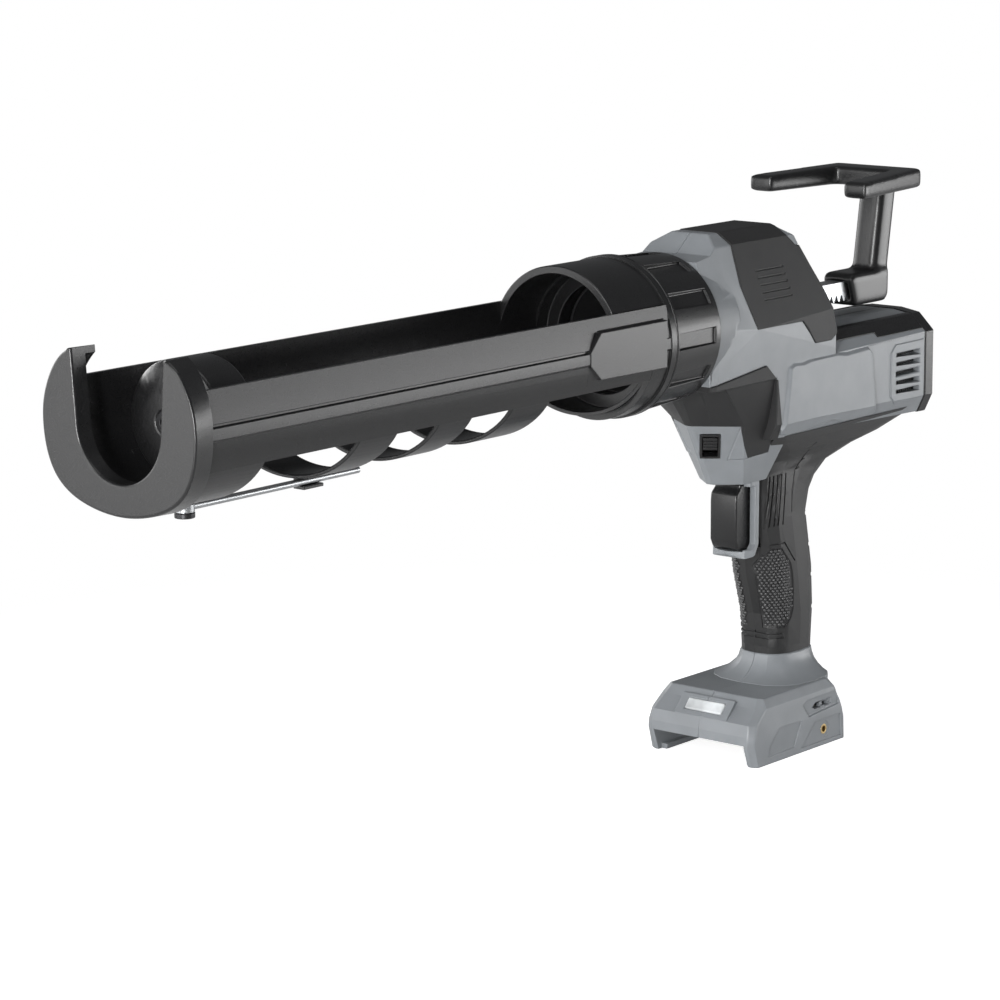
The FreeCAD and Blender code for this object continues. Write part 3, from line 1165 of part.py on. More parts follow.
def motor_ribs():
    ribs = []
    front_x = BODY_FRONT_X - MOTOR_FRONT_SHARE * BODY_LENGTH
    inside = motor_body(-SKIN_DEPTH, BODY_REAR_X, front_x)
    for share in MOTOR_RIB_SHARES:
        x = RING_REAR_X - share * MOTOR_LENGTH
        slab = box(x, x + MOTOR_RIB, -BODY_LENGTH, BODY_LENGTH, -BODY_LENGTH, BODY_LENGTH).common(inside)
        ribs.append(slab.cut(rod_x(MOTOR_R + SEAM_GAP, x - OVERRUN, x + MOTOR_RIB + OVERRUN, 0, CROSS_Z)))
    return ribs


def screw_places():
    """Each screw's x, z and the depth of its head on the right side."""
    places = []
    for u, v in HUMP_SCREW_SHARES:
        z = v * BODY_HEIGHT
        (y0, z0), (y1, z1) = GEAR_FRONT_SHARES[1], GEAR_FRONT_SHARES[2]
        side = (y0 + (z0 - v) / (z0 - z1) * (y1 - y0)) * GEAR_HALF
        places.append((BODY_FRONT_X - u * BODY_LENGTH, z, side - SKIN_DEPTH - SCREW_SINK))
    for u, v in FOOT_SCREW_SHARES:
        z = FOOT_TOP_Z - v * FOOT_HEIGHT
        places.append((FOOT_FRONT_X - u * FOOT_LENGTH, z, FOOT_HALF - FOOT_SCREW_DEPTH))
    return places


def housing_screws():
    screws = []
    for x, z, head_y in screw_places():
        head = rod_y(SCREW_HEAD_R, -head_y, -head_y + SCREW_HEAD, x, z)
        screws.append(head.fuse(rod_y(SCREW_R, -head_y + SCREW_HEAD, -head_y + SCREW_LENGTH, x, z)))
    return Part.makeCompound(screws)


def screw_holes():
    holes = []
    for x, z, head_y in screw_places():
        holes.append(rod_y(SCREW_HEAD_R + SEAM_GAP, -2 * FOOT_HALF, -head_y + SCREW_HEAD, x, z))
        holes.append(rod_y(SCREW_R + RUN_GAP, -head_y, -head_y + SCREW_LENGTH + OVERRUN, x, z))
    return fuse(holes)


def screw_bosses(inside):
    bosses = [rod_y(SCREW_BOSS_R, -BODY_LENGTH, BODY_LENGTH, x, z) for x, z, head_y in screw_places()[:2]]
    return [boss.common(inside) for boss in bosses]


# Foot details
def led_pocket(half, height, back, out):
    return tilted(box(-back, out, -half, half, -height / 2, height / 2), LED_TILT, LED_X, LED_Z)


def led_lens():
    return led_pocket(LED_HALF, LED_HEIGHT, LED_THICK, LED_BEZEL_PROUD + LED_PROUD)


def led_board():
    board = led_pocket(LED_HALF, LED_HEIGHT, LED_THICK + BOARD_THICK + LED_CHIP, -LED_THICK - LED_CHIP)
    chip = led_pocket(LED_CHIP, LED_CHIP, LED_THICK + LED_CHIP, -LED_THICK)
    return board.fuse(chip)


def foot_cuts():
    bay = box(BAY_REAR_X, FOOT_FRONT_X + OVERRUN, -BAY_HALF, BAY_HALF, FOOT_LOW_Z - OVERRUN, BAY_ROOF_Z)
    window_half = TERMINAL_HALF + SEAM_GAP
    window = box(TERMINAL_FRONT_X - TERMINAL_LENGTH - SEAM_GAP, TERMINAL_FRONT_X + SEAM_GAP,
                 -window_half, window_half, BAY_ROOF_Z - OVERRUN, BAY_ROOF_Z + BAY_ROOF + OVERRUN)
    led_back = LED_THICK + BOARD_THICK + LED_CHIP
    led = led_pocket(LED_HALF + SEAM_GAP, LED_HEIGHT + SEAM_GAP, led_back, LED_THICK + OVERRUN)
    cuts = [bay, window, led]
    sunk = [(FOOT_VENT_SHARES, FOOT_VENT_DEPTH), (VENT_RECESS_SHARES, VENT_RECESS_DEPTH),
            (PLATE_SHARES, PLATE_DEPTH), (INSERT_PLATE_SHARES, PLATE_DEPTH)]
    for shares, depth in sunk:
        cuts += both_sides(side_prism(foot_outline(shares), FOOT_HALF - depth, FOOT_HALF + OVERRUN))
    return fuse(cuts)


def battery_rails():
    front_x = FOOT_FRONT_X - RAIL_INSET
    rail_top = FOOT_LOW_Z + RAIL_THICK
    rail = box(BAY_REAR_X, front_x, BAY_HALF - RAIL_REACH, BAY_HALF, FOOT_LOW_Z, rail_top)
    return both_sides(rail)


def threaded_insert():
    out_y = FOOT_HALF - INSERT_SINK
    return tube_y(INSERT_R, INSERT_BORE_R, out_y - INSERT_LENGTH, out_y, INSERT_X, INSERT_Z)


def insert_hole():
    out_y = FOOT_HALF - INSERT_SINK
    hole = rod_y(INSERT_R + RUN_GAP, out_y - INSERT_LENGTH, FOOT_HALF + OVERRUN, INSERT_X, INSERT_Z)
    return hole.fuse(rod_y(INSERT_SINK_R, out_y, FOOT_HALF + OVERRUN, INSERT_X, INSERT_Z))


def terminal_block():
    rear_x = TERMINAL_FRONT_X - TERMINAL_LENGTH
    low_z = BAY_ROOF_Z - TERMINAL_DROP
    roof_top = BAY_ROOF_Z + BAY_ROOF
    body = box(rear_x, TERMINAL_FRONT_X, -TERMINAL_HALF, TERMINAL_HALF, low_z, TERMINAL_TOP_Z)
    flange_half = TERMINAL_HALF + TERMINAL_FLANGE
    flange = box(rear_x - TERMINAL_FLANGE, TERMINAL_FRONT_X + TERMINAL_FLANGE, -flange_half, flange_half,
                 roof_top, roof_top + TERMINAL_FLANGE)
    return fuse([body, flange])


def terminal_blades():
    low_z = BAY_ROOF_Z - TERMINAL_DROP
    start = TERMINAL_FRONT_X - TERMINAL_LENGTH / 2
    blades = []
    for index in range(BLADE_COUNT):
        y = (index - (BLADE_COUNT - 1) / 2) * BLADE_PITCH
        side = y + BLADE_THICK / 2
        blade = box(start, start + BLADE_LENGTH, side - BLADE_THICK, side, low_z - BLADE_HEIGHT, low_z)
        blades.append(blade)
    return Part.makeCompound(blades)


def control_board():
    rear_x = TERMINAL_FRONT_X - TERMINAL_LENGTH
    top_z = TERMINAL_TOP_Z + BOARD_THICK
    board = box(rear_x, rear_x + BOARD_LENGTH, -BOARD_HALF, BOARD_HALF, TERMINAL_TOP_Z, top_z)
    chip_x = rear_x + BOARD_LENGTH / 2
    chip = box(chip_x, chip_x + CHIP_SIZE, -CHIP_SIZE / 2, CHIP_SIZE / 2, top_z, top_z + CHIP_THICK)
    return board.fuse(chip)


# Trigger, switch and slider
def trigger_room():
    room = TRIGGER_HALF + TRIGGER_GAP
    low_z = TRIGGER_LOW_Z - TRIGGER_GAP
    return box(SWITCH_FRONT_X, TRIGGER_FRONT_X + OVERRUN, -room, room, low_z, TRIGGER_TOP_Z)


def trigger():
    height = TRIGGER_TOP_Z - TRIGGER_LOW_Z
    top_z = TRIGGER_TOP_Z - FIT_GAP
    side = [(TRIGGER_FRONT_X - u * TRIGGER_DEPTH, top_z - v * height) for u, v in TRIGGER_SHARES]
    body = side_prism(side, -TRIGGER_HALF, TRIGGER_HALF)
    inner = TRIGGER_HALF - TRIGGER_CHAMFER
    plan = mirror_plan([(TRIGGER_FRONT_X, inner), (TRIGGER_FRONT_X - TRIGGER_CHAMFER, TRIGGER_HALF),
                        (TRIGGER_REAR_X, TRIGGER_HALF)])
    body = body.common(plan_prism(plan, TRIGGER_LOW_Z - OVERRUN, TRIGGER_TOP_Z + OVERRUN))
    stem_z = (SWITCH_TOP_Z + SWITCH_LOW_Z) / 2
    return body.fuse(rod_x(TRIGGER_STEM_R, TRIGGER_REAR_X - TRIGGER_STEM_LENGTH, TRIGGER_REAR_X, 0, stem_z))


def switch_module():
    half = GRIP_ROOM_HALF - SEAM_GAP
    stem_z = (SWITCH_TOP_Z + SWITCH_LOW_Z) / 2
    rear_x = SWITCH_FRONT_X - SWITCH_LENGTH
    body = box(rear_x, SWITCH_FRONT_X, -half, half, SWITCH_LOW_Z, SWITCH_TOP_Z)
    hole_end = TRIGGER_REAR_X - TRIGGER_STEM_LENGTH - TRIGGER_TRAVEL - TRIGGER_GAP
    return body.cut(rod_x(TRIGGER_STEM_R + FIT_GAP, hole_end, SWITCH_FRONT_X + OVERRUN, 0, stem_z))


def trigger_spring():
    stem_z = (SWITCH_TOP_Z + SWITCH_LOW_Z) / 2
    length = TRIGGER_REAR_X - SWITCH_FRONT_X - 2 * SPRING_WIRE_R - 2 * SEAM_GAP
    path = Part.makeHelix(length / SPRING_TURNS, length, SPRING_R)
    ring = Part.Wire(Part.makeCircle(SPRING_WIRE_R, V(SPRING_R, 0, 0), V(0, 1, 0)))
    coil = Part.Wire(path.Edges).makePipeShell([ring], True, True)
    coil.rotate(V(0, 0, 0), V(0, 1, 0), FULL_TURN / 4)
    coil.translate(V(SWITCH_FRONT_X + SPRING_WIRE_R + SEAM_GAP, 0, stem_z))
    return coil


def nose_facet():
    """Middle of the slider on the nose's left facet, the facet's turn in plan and its lean."""
    down = (CHIN_MID_Z - SLIDER_Z) / (CHIN_MID_Z - NOSE_LOW_Z)
    ends = []
    for index in (0, 2):
        (u0, v0), (u1, v1) = CHIN_MID_SHARES[index], NOSE_LOW_SHARES[index]
        u = u0 + down * (u1 - u0)
        ends.append((CHIN_FRONT_X - u * CHIN_DEPTH, (v0 + down * (v1 - v0)) * CHIN_HALF))
    (x0, y0), (x1, y1) = ends
    x = x0 + SLIDER_ALONG_SHARE * (x1 - x0)
    y = y0 + SLIDER_ALONG_SHARE * (y1 - y0)
    turn = math.atan2(x0 - x1, y1 - y0)
    back = (NOSE_LOW_SHARES[0][0] - CHIN_MID_SHARES[0][0]) * CHIN_DEPTH * math.cos(turn)
    return V(x, y, SLIDER_Z), math.degrees(turn), math.degrees(math.atan2(back, CHIN_MID_Z - NOSE_LOW_Z))


def on_nose(shape):
    place, turn, lean = nose_facet()
    shape.rotate(V(0, 0, 0), V(0, 1, 0), lean)
    shape.rotate(V(0, 0, 0), V(0, 0, 1), turn)
    shape.translate(place)
    return shape


def slider_room():
    half = SLIDER_HALF + FIT_GAP
    low = -SLIDER_HEIGHT / 2 - SLIDER_TRAVEL - FIT_GAP
    return on_nose(box(-SLIDER_THICK, OVERRUN, -half, half, low, SLIDER_HEIGHT / 2 + FIT_GAP))


def slider_frame():
    half = SLIDER_HALF + FIT_GAP + SLIDER_RIM
    low = -SLIDER_HEIGHT / 2 - SLIDER_TRAVEL - FIT_GAP - SLIDER_RIM
    top = SLIDER_HEIGHT / 2 + FIT_GAP + SLIDER_RIM
    frame = on_nose(box(-SLIDER_THICK, SLIDER_RIM / 2, -half, half, low, top))
    return frame.cut(slider_room())


def slider_switch():
    top = SLIDER_HEIGHT / 2
    block = box(-SLIDER_THICK + FIT_GAP, SLIDER_PROUD, -SLIDER_HALF, SLIDER_HALF, -top, top)
    step = SLIDER_HEIGHT / SLIDER_RIBS
    for index in range(1, SLIDER_RIBS):
        z = -SLIDER_HEIGHT / 2 + index * step
        block = block.cut(box(SLIDER_PROUD - SLIDER_RIB, SLIDER_PROUD + OVERRUN, -SLIDER_HALF - OVERRUN,
                              SLIDER_HALF + OVERRUN, z - SLIDER_RIB / 2, z + SLIDER_RIB / 2))
    return on_nose(block)


def guard_half():
    outline = [(GUARD_FRONT_X - u * GUARD_DEPTH, GUARD_TOP_Z - v * GUARD_HEIGHT) for u, v in GUARD_SHARES]
    plan = mirror_plan([(GUARD_FRONT_X - u * GUARD_DEPTH, v * GUARD_HALF) for u, v in GUARD_PLAN_SHARES])
    room = plan_prism(plan, GUARD_TOP_Z - GUARD_HEIGHT - OVERRUN, GUARD_TOP_Z + OVERRUN)
    return side_prism(outline, 0, GUARD_HALF).common(room)


# Rear cap
def rear_cap():
    cap = motor_body(SKIN_PROUD, CAP_REAR_X, BODY_REAR_X)
    for index in range(REAR_SLOTS):
        z = CROSS_Z + (index - (REAR_SLOTS - 1) / 2) * REAR_SLOT_PITCH
        cap = cap.cut(box(CAP_REAR_X - OVERRUN, BODY_REAR_X + OVERRUN, -REAR_SLOT_HALF, REAR_SLOT_HALF,
                          z - REAR_SLOT_HEIGHT / 2, z + REAR_SLOT_HEIGHT / 2))
    return cap


def panel_wedge():
    """The side panel's outline, wider at its root than at its face."""
    outline = body_side(PANEL_SHARES)
    root_y = MOTOR_HALF - PANEL_PROUD
    face_y = MOTOR_HALF + PANEL_PROUD
    root = [V(x, root_y, z) for x, z in grow_outline(outline, PANEL_EDGE)]
    return loft([root, [V(x, face_y, z) for x, z in grow_outline(outline, -PANEL_EDGE)]])


def vent_outline():
    x1 = VENT_FRONT_X - VENT_LENGTH
    z1 = VENT_TOP_Z - VENT_HEIGHT
    return [(VENT_FRONT_X, VENT_TOP_Z - VENT_CUT), (VENT_FRONT_X - VENT_CUT, VENT_TOP_Z), (x1, VENT_TOP_Z),
            (x1, z1), (VENT_FRONT_X - VENT_CUT, z1), (VENT_FRONT_X, z1 + VENT_CUT)]


def vent_slots():
    middle_x = VENT_FRONT_X - VENT_LENGTH / 2
    slots = []
    for index in range(VENT_SLOTS):
        z = VENT_TOP_Z - VENT_HEIGHT / 2 + (index - (VENT_SLOTS - 1) / 2) * VENT_PITCH
        slots.append(box(middle_x - VENT_SLOT_LENGTH / 2, middle_x + VENT_SLOT_LENGTH / 2, GRIP_HALF,
                         2 * MOTOR_HALF, z - VENT_SLOT_HEIGHT / 2, z + VENT_SLOT_HEIGHT / 2))
    return slots


# Left side of the housing, and the skins that lie in it
def cover_lines():
    upper = GEAR_FRONT_SHARES[1]
    lower = GEAR_FRONT_SHARES[2]
    lines = []
    for index in range(LINE_COUNT):
        z = LINE_TOP_Z - index * LINE_PITCH
        x = LINE_FRONT_X - index * LINE_SHIFT
        share = (upper[1] - z / BODY_HEIGHT) / (upper[1] - lower[1])
        y = GEAR_HALF * (upper[0] + share * (lower[0] - upper[0]))
        floor_y = y + SKIN_PROUD - LINE_DEPTH
        lines.append(box(x - LINE_LENGTH, x, floor_y, y + OVERRUN, z - LINE_WIDTH / 2, z + LINE_WIDTH / 2))
    return lines


def rack_way():
    room = RACK_HALF + 2 * FIT_GAP + RUN_GAP
    low_z = RACK_TIP_Z - 2 * FIT_GAP
    top_z = RACK_TOP_Z + 2 * FIT_GAP
    return box(-BODY_LENGTH, BODY_FRONT_X + OVERRUN, -room, room, low_z, top_z)


def build_housing():
    proud = outer_body(SKIN_PROUD)
    plain = outer_body(0)
    deep = outer_body(-SKIN_DEPTH)
    core = grip_half(-GRIP_SKIN)
    room = housing_room()
    front_x = BODY_FRONT_X - MOTOR_FRONT_SHARE * BODY_LENGTH
    skin = proud.cut(deep)
    cover = skin.common(cover_region()).cut(rack_way())
    cover = cover.cut(fuse(sum([both_sides(line) for line in cover_lines()], [])))
    collar_room = box(BODY_FRONT_X, 0, -BODY_LENGTH, BODY_LENGTH, -BODY_LENGTH, BODY_LENGTH)
    chin = skin.common(chin_region()).cut(collar_room)
    grip = grip_half(0).cut(deep).cut(core).cut(guard_half()).cut(chin_region()).cut(foot_body())
    band = skin.common(band_region()).cut(cover_region())
    panel = motor_body(PANEL_PROUD, BODY_REAR_X, front_x).common(panel_wedge())
    vent_side = side_prism(vent_outline(), GRIP_HALF, BODY_LENGTH)
    vent = motor_body(VENT_PROUD, BODY_REAR_X, front_x).common(vent_side)
    bezel = left_half(led_pocket(LED_BEZEL_HALF, LED_BEZEL_HEIGHT, LED_THICK, LED_BEZEL_PROUD))
    half = fuse([left_half(plain), core, guard_half(), left_half(foot_body()), panel, vent, bezel])
    half = half.cut(grip_half(0).cut(deep).cut(core).cut(guard_half()).cut(foot_body()).cut(chin_region()))
    for region in (cover_region(), band_region().cut(cover_region()), chin_region()):
        half = half.cut(region.cut(deep))
    half = half.cut(room)
    inside = left_half(gear_body(-SKIN_DEPTH))
    half = fuse([half] + [left_half(rib) for rib in motor_ribs()] + screw_bosses(inside))
    half = half.cut(rack_way()).cut(trigger_room()).cut(foot_cuts()).cut(fuse(vent_slots())).cut(collar_room)
    half = fuse([half, left_half(battery_rails()[0])])
    grip = largest(grip.cut(trigger_room()))
    return half, cover, chin, band, grip


def main():
    os.makedirs("parts", exist_ok=True)
    half, cover, chin, band, grip = build_housing()
    frame_room = fuse([slider_frame(), slider_room()])
    save("left_housing", half.cut(insert_hole()).cut(screw_holes()).cut(frame_room))
    save("right_housing", mirrored(half).cut(screw_holes()).cut(frame_room))
    save("top_cover", cover.removeSplitter())
    for side, shape in (("chin_panel", chin), ("motor_band", band), ("grip_cover", grip)):
        save("left_" + side, shape)
        save("right_" + side, mirrored(shape))
    pieces = [
        barrel, barrel_socket, front_cap, puncture_rod, rod_pivot_screw, rod_clip, plunger, plunger_screw,
        rack, pull_handle, handle_pin, collar_nut, rack_pinion, spur_gear, spur_pinion, bevel_gear,
        bevel_pinion, planet_carrier, sun_gear, ring_gear, gear_case, shaft_bushes, output_bush, rack_guide,
        motor_can, motor_bearings, stator, rotor, cooling_fan, rear_cap, housing_screws, led_lens, led_board,
        threaded_insert, terminal_block, terminal_blades, control_board, trigger, switch_module,
        trigger_spring, slider_frame, slider_switch]
    for piece in pieces:
        save(piece.__name__, piece())
    save("pinion_shaft", cross_bar(PINION_Z))
    save("cross_shaft", cross_bar(CROSS_Z))
    for number, place in enumerate(planet_places(), 1):
        save("planet_gear_" + str(number), planet_gear(*place))


main()
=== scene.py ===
import json
import math
from contextlib import contextmanager

import bmesh
import bpy
from mathutils import Matrix, Vector
from mathutils.bvhtree import BVHTree


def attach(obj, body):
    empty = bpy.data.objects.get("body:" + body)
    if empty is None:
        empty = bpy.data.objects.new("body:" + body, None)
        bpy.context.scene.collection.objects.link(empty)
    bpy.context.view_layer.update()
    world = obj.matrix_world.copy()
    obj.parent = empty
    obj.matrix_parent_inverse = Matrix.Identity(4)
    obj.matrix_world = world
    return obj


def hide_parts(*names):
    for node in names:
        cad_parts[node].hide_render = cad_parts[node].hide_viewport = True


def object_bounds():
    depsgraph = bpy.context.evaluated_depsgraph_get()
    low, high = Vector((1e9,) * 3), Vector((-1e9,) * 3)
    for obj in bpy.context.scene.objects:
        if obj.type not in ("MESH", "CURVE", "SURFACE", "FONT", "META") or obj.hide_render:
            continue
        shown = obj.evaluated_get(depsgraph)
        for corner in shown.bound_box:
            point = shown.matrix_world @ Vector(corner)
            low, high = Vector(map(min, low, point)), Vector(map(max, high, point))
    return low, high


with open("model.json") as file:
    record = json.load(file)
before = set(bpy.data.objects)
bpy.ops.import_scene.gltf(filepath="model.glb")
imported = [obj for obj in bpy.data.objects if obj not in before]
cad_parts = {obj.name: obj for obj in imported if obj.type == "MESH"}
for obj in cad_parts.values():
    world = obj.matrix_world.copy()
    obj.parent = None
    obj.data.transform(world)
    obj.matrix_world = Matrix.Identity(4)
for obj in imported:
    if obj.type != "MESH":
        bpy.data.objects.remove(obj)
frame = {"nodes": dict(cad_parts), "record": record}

CAD_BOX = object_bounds()
NODES = frame["nodes"]
BODY_OF = {n: b for b, members in frame["record"]["behaviour"]["bodies"].items() for n in members}
SLOT_OF = {p["node"]: p["material_slot"] for p in frame["record"]["subparts"]}
FLOOR_Z = CAD_BOX[0].z
MM = 0.001
UP = Vector((0, 0, 1))
FORWARD = Vector((1, 0, 0))
SIDES = (("left", 1), ("right", -1))

# Camera, fitted to the photograph: eye in metres, then yaw, pitch and roll in radians
CAMERA_EYE = Vector((1.3543, 1.0534, 0.2598))
CAMERA_YAW = 0.6900
CAMERA_PITCH = 0.1954
CAMERA_ROLL = 0.0058
CAMERA_SENSOR = 36.0
FOCAL_SHARE = 3.57333

# Mesh clean-up, in metres and radians
WELD = 0.000002
FLAT_ANGLE = math.radians(0.6)
SHARP_ANGLE = math.radians(28)

# Edge rounding: which edges are rounded, how much room a bevel may take, and which edges form one run
BEVEL_LAYER = "bevel_weight_edge"
BEVEL_ANGLE = math.radians(27)
BEVEL_SEGMENTS = 3
BEVEL_ROOM_SHARE = 0.4
BEND_ANGLE = math.radians(30)
CURVE_EDGES = 8

# A bevel that leaves the surface by more than a share of its width is taken off the edges near by,
# within a reach in metres, and this is tried for a few rounds
SPIKE_SHARE = 0.8
SPIKE_REACH = 0.003
SPIKE_ROUNDS = 5

# Edge rounding of each shown piece, in mm, where there is room for it
ROUNDING = {
    "collar_nut": 0.6, "top_cover": 0.8, "left_motor_band": 0.6, "right_motor_band": 0.6,
    "rear_cap": 0.7, "puncture_rod": 0.3, "rod_clip": 0.4, "rod_pivot_screw": 0.4,
    "threaded_insert": 0.2, "slider_switch": 0.3, "slider_frame": 0.3, "handle_pin": 0.4,
    "plunger_screw": 0.3, "housing_screws": 0.3, "terminal_block": 0.4, "terminal_blades": 0.15,
}
HOUSING_ROUNDING = 0.7
CHIN_ROUNDING = 0.6
# Pieces with one rounding all over, in mm
EVEN_ROUNDING = {"plunger": 1.0, "led_lens": 0.9}

# Front cap: its rounding, and the shoulder ahead of which it is rounded, in mm
CAP_ROUNDING = 1.3
CAP_SHOULDER_X = 320.5

# Barrel: its rounding, and the front end that stays sharp, in mm
BARREL_ROUNDING = 0.6
BARREL_END_X = 318.0

# Apron of the trough: x range and radii in mm, and angles in degrees from level on the right downwards
APRON_X = (272.0, 317.0)
APRON_R = (34.2, 35.5)
APRON_ANGLES = (8, 100)
APRON_STEPS = 24

# Pull handle: grid of its rebuilt skin in mm, and how much the skin is smoothed
HANDLE_GRID = 0.7
HANDLE_SMOOTHING = 0.5
HANDLE_ROUNDS = 60

# Trigger: side outline of its rounded front block, half width and rounding, in mm
TRIGGER_OUTLINE = [(-105.2, -86.95), (-105.0, -89.6), (-101.6, -92.6), (-101.1, -97.0), (-101.1, -117.0),
                   (-103.2, -121.2), (-105.5, -122.2), (-120.0, -122.2), (-120.0, -86.95)]
TRIGGER_HALF = 8.3
TRIGGER_ROUNDING = 2.6
TRIGGER_SEGMENTS = 5
# The side outline of what the block takes the place of, in mm
TRIGGER_FRONT = [(-116.0, -80.0), (-95.0, -80.0), (-95.0, -130.0), (-116.0, -130.0)]

# Trigger guard: what is taken off in front of the trigger, in mm
GUARD_SIDE_CUT = [(-111.8, -88.6), (-94.0, -88.6), (-94.0, -121.8), (-109.5, -121.8), (-111.8, -119.0)]
GUARD_PLAN_CUT = [(-112.0, 14.0), (-106.5, 10.0), (-103.8, 5.0), (-103.0, 0.0), (-103.8, -5.0),
                  (-106.5, -10.0), (-112.0, -14.0), (-94.0, -14.0), (-94.0, 14.0)]
GUARD_PLAN_LEVELS = (-131.0, -121.7)
GUARD_HALF = 14.0

# Side vents of the foot: slots along x, their levels and their span from the middle, in mm
FOOT_SLOTS = [(-145.4, -138.6), (-152.8, -148.0)]
FOOT_SLOT_LEVELS = (-208.6, -206.4)
FOOT_SLOT_SPAN = (27.5, 34.0)

# Grey cheek: the part of the chin panel ahead of this slanted line, in mm
CHEEK_TOP = (-87.0, 21.1, -53.3)
CHEEK_FOOT = (-96.0, 18.9, -75.0)
CHEEK_ALONG = (0.93, 0.37)
CHEEK_REACH = 40.0

# Dark ribbed sheets behind the motor vents, painted shade inside them: ribs along x, their depths and
# their height, in mm
SCREEN_ALONG = (-238.0, -207.0)
SCREEN_RIBS = 16
SCREEN_INNER = 24.8
SCREEN_VALLEY = 25.4
SCREEN_RIDGE = 26.2
SCREEN_LEVELS = (-60.0, -22.0)

# Grip surface, traced by rays round each level: where the rays start and how far a normal looks, in metres
ARC_STEPS = 150
RAY_START = 0.4
RAY_ASIDE = 0.001
NORMAL_REACH = 0.0015
LEVEL_DIGITS = 6
# From the grip's rear to the middle that the rays aim at, in mm
GRIP_HALF_DEPTH = 22.5

# Bump panel: level, then rear and front end as arc lengths ahead of the flank, in mm
PANEL_LEVELS = [(-124.2, 10.4, 17.6), (-126.0, 9.6, 20.6), (-129.0, 7.6, 25.2), (-133.0, 4.9, 29.2),
                (-146.0, 3.7, 26.6), (-158.0, 3.7, 24.0), (-163.0, 5.2, 22.6), (-167.6, 9.0, 21.5)]
PANEL_ROWS = 34
PANEL_COLUMNS = 24
PANEL_DEPTH = 0.7
BUMP_ROW = 1.55
BUMP_PITCH = 2.5
BUMP_R = 1.05
BUMP_RISE = 1.15
BUMP_SINK = 0.15
BUMP_EDGE = 1.3
BUMP_SIDES = 8
BUMP_RINGS = 3

# How far each cut reaches out of the grip's surface, in mm
CUT_RISE = 1.6

# Grooves of the grip, in mm: places on the left grip, or arc lengths with levels
GROOVE_TOPS = [(-124.2, 13.0, -85.6), (-126.7, 13.7, -85.4), (-129.2, 14.4, -85.2), (-131.8, 15.1, -85.0),
               (-135.0, 15.4, -84.9)]
GROOVE_FEET = [(-121.9, 11.1, -112.8), (-123.9, 12.8, -112.4), (-126.7, 14.0, -112.1),
               (-128.9, 15.0, -111.8), (-132.6, 15.5, -111.8)]
GROOVE_STEPS = 4
GROOVE_WIDTH = 0.9
GROOVE_DEPTH = 0.8
SEAM = [(-155.4, 20.5, -71.0), (-150.1, 16.7, -77.5), (-142.4, 15.8, -84.4), (-139.7, 16.0, -94.5),
        (-139.6, 16.2, -106.0)]
SEAM_WIDTH = 0.6
SEAM_DEPTH = 0.5
LINE_STEPS = 6
PANEL_SLOTS = [[(17.7, -121.7), (8.3, -121.5)], [(8.3, -121.5), (1.7, -132.6)]]
RING_GROOVES = [[(26.6, -169.6), (18.6, -170.2), (9.6, -170.4)],
                [(26.5, -172.4), (18.5, -172.9), (8.5, -172.6)]]
RING_WIDTH = 1.4
NOTCH_LEVELS = [-110.0, -127.0, -143.5, -161.0]
NOTCH_STEPS = 10
NOTCH_WIDTH = 2.2
NOTCH_DEPTH = 1.1
NOTCH_ARC = 15.0
NOTCH_PAST = 2.0

# Finishes: the noise values that take up a whole change, the noise itself, and its relief in mm
NOISE_SPAN = (0.3, 0.7)
SLOW_SCALE = 60.0
SLOW_DETAIL = 3.0
FINE_DETAIL = 2.0
ROUGH_CHANGE = 0.05
RELIEF = 0.1
BRUSHED = (0.12, 1, 1)
FINISHES = {
    "black_plastic": dict(colour=(0.008, 0.008, 0.0084), rough=0.31),
    "satin_black": dict(colour=(0.026, 0.026, 0.0265), rough=0.5, gloss=0.2),
    "grey_plastic": dict(colour=(0.19, 0.202, 0.214), rough=0.4, grain=3200.0),
    "grip_rubber": dict(colour=(0.011, 0.011, 0.0114), rough=0.45, bump=0.2),
    "bright_steel": dict(colour=(0.42, 0.43, 0.44), rough=0.36, metal=1.0, grain=700.0, bump=0.02,
                         stretch=BRUSHED),
    # Dark steel, also used as painted shade on the plunger screw inside the cap's slot
    "dark_steel_and_shade": dict(colour=(0.05, 0.05, 0.052), rough=0.34, metal=1.0),
    "gear_steel": dict(colour=(0.45, 0.46, 0.48), rough=0.32, metal=1.0),
    "cast_aluminium": dict(colour=(0.6, 0.61, 0.62), rough=0.45, metal=1.0, grain=900.0, bump=0.25),
    # Darkened casting: painted shade inside the barrel socket, also standing for the dark bulkhead seen
    # there
    "casting_dark_and_shade": dict(colour=(0.02, 0.02, 0.021), rough=0.5, grain=900.0, bump=0.25),
    "bronze": dict(colour=(0.6, 0.42, 0.22), rough=0.36, metal=1.0),
    "brass": dict(colour=(0.72, 0.53, 0.25), rough=0.3, metal=1.0),
    "clear_lens": dict(colour=(0.56, 0.58, 0.59), rough=0.14, grain=500.0, bump=0.2, change=0.35),
    "board": dict(colour=(0.03, 0.2, 0.08), rough=0.42),
    # Grip bumps: the same rubber as the grip, painted lighter as a highlight on their tops
    "grip_studs_painted_sheen": dict(colour=(0.05, 0.05, 0.051), rough=0.34),
    # A dark sheet behind the motor vents, standing in for the shade inside them
    "vent_painted_shade": dict(colour=(0.012, 0.012, 0.013), rough=0.7),
}
# Nodes with a finish other than their slot's
OWN_FINISH = {
    # The plunger screw is darkened as painted shade inside the cap's slot
    "rod_pivot_screw": "dark_steel_and_shade", "plunger_screw": "dark_steel_and_shade",
    # The gear case is darkened where it shows through the barrel socket, as painted shade together with
    # the dark bulkhead there
    "gear_case": "casting_dark_and_shade", "top_cover": "satin_black",
    "left_chin_panel": "satin_black", "right_chin_panel": "satin_black",
}

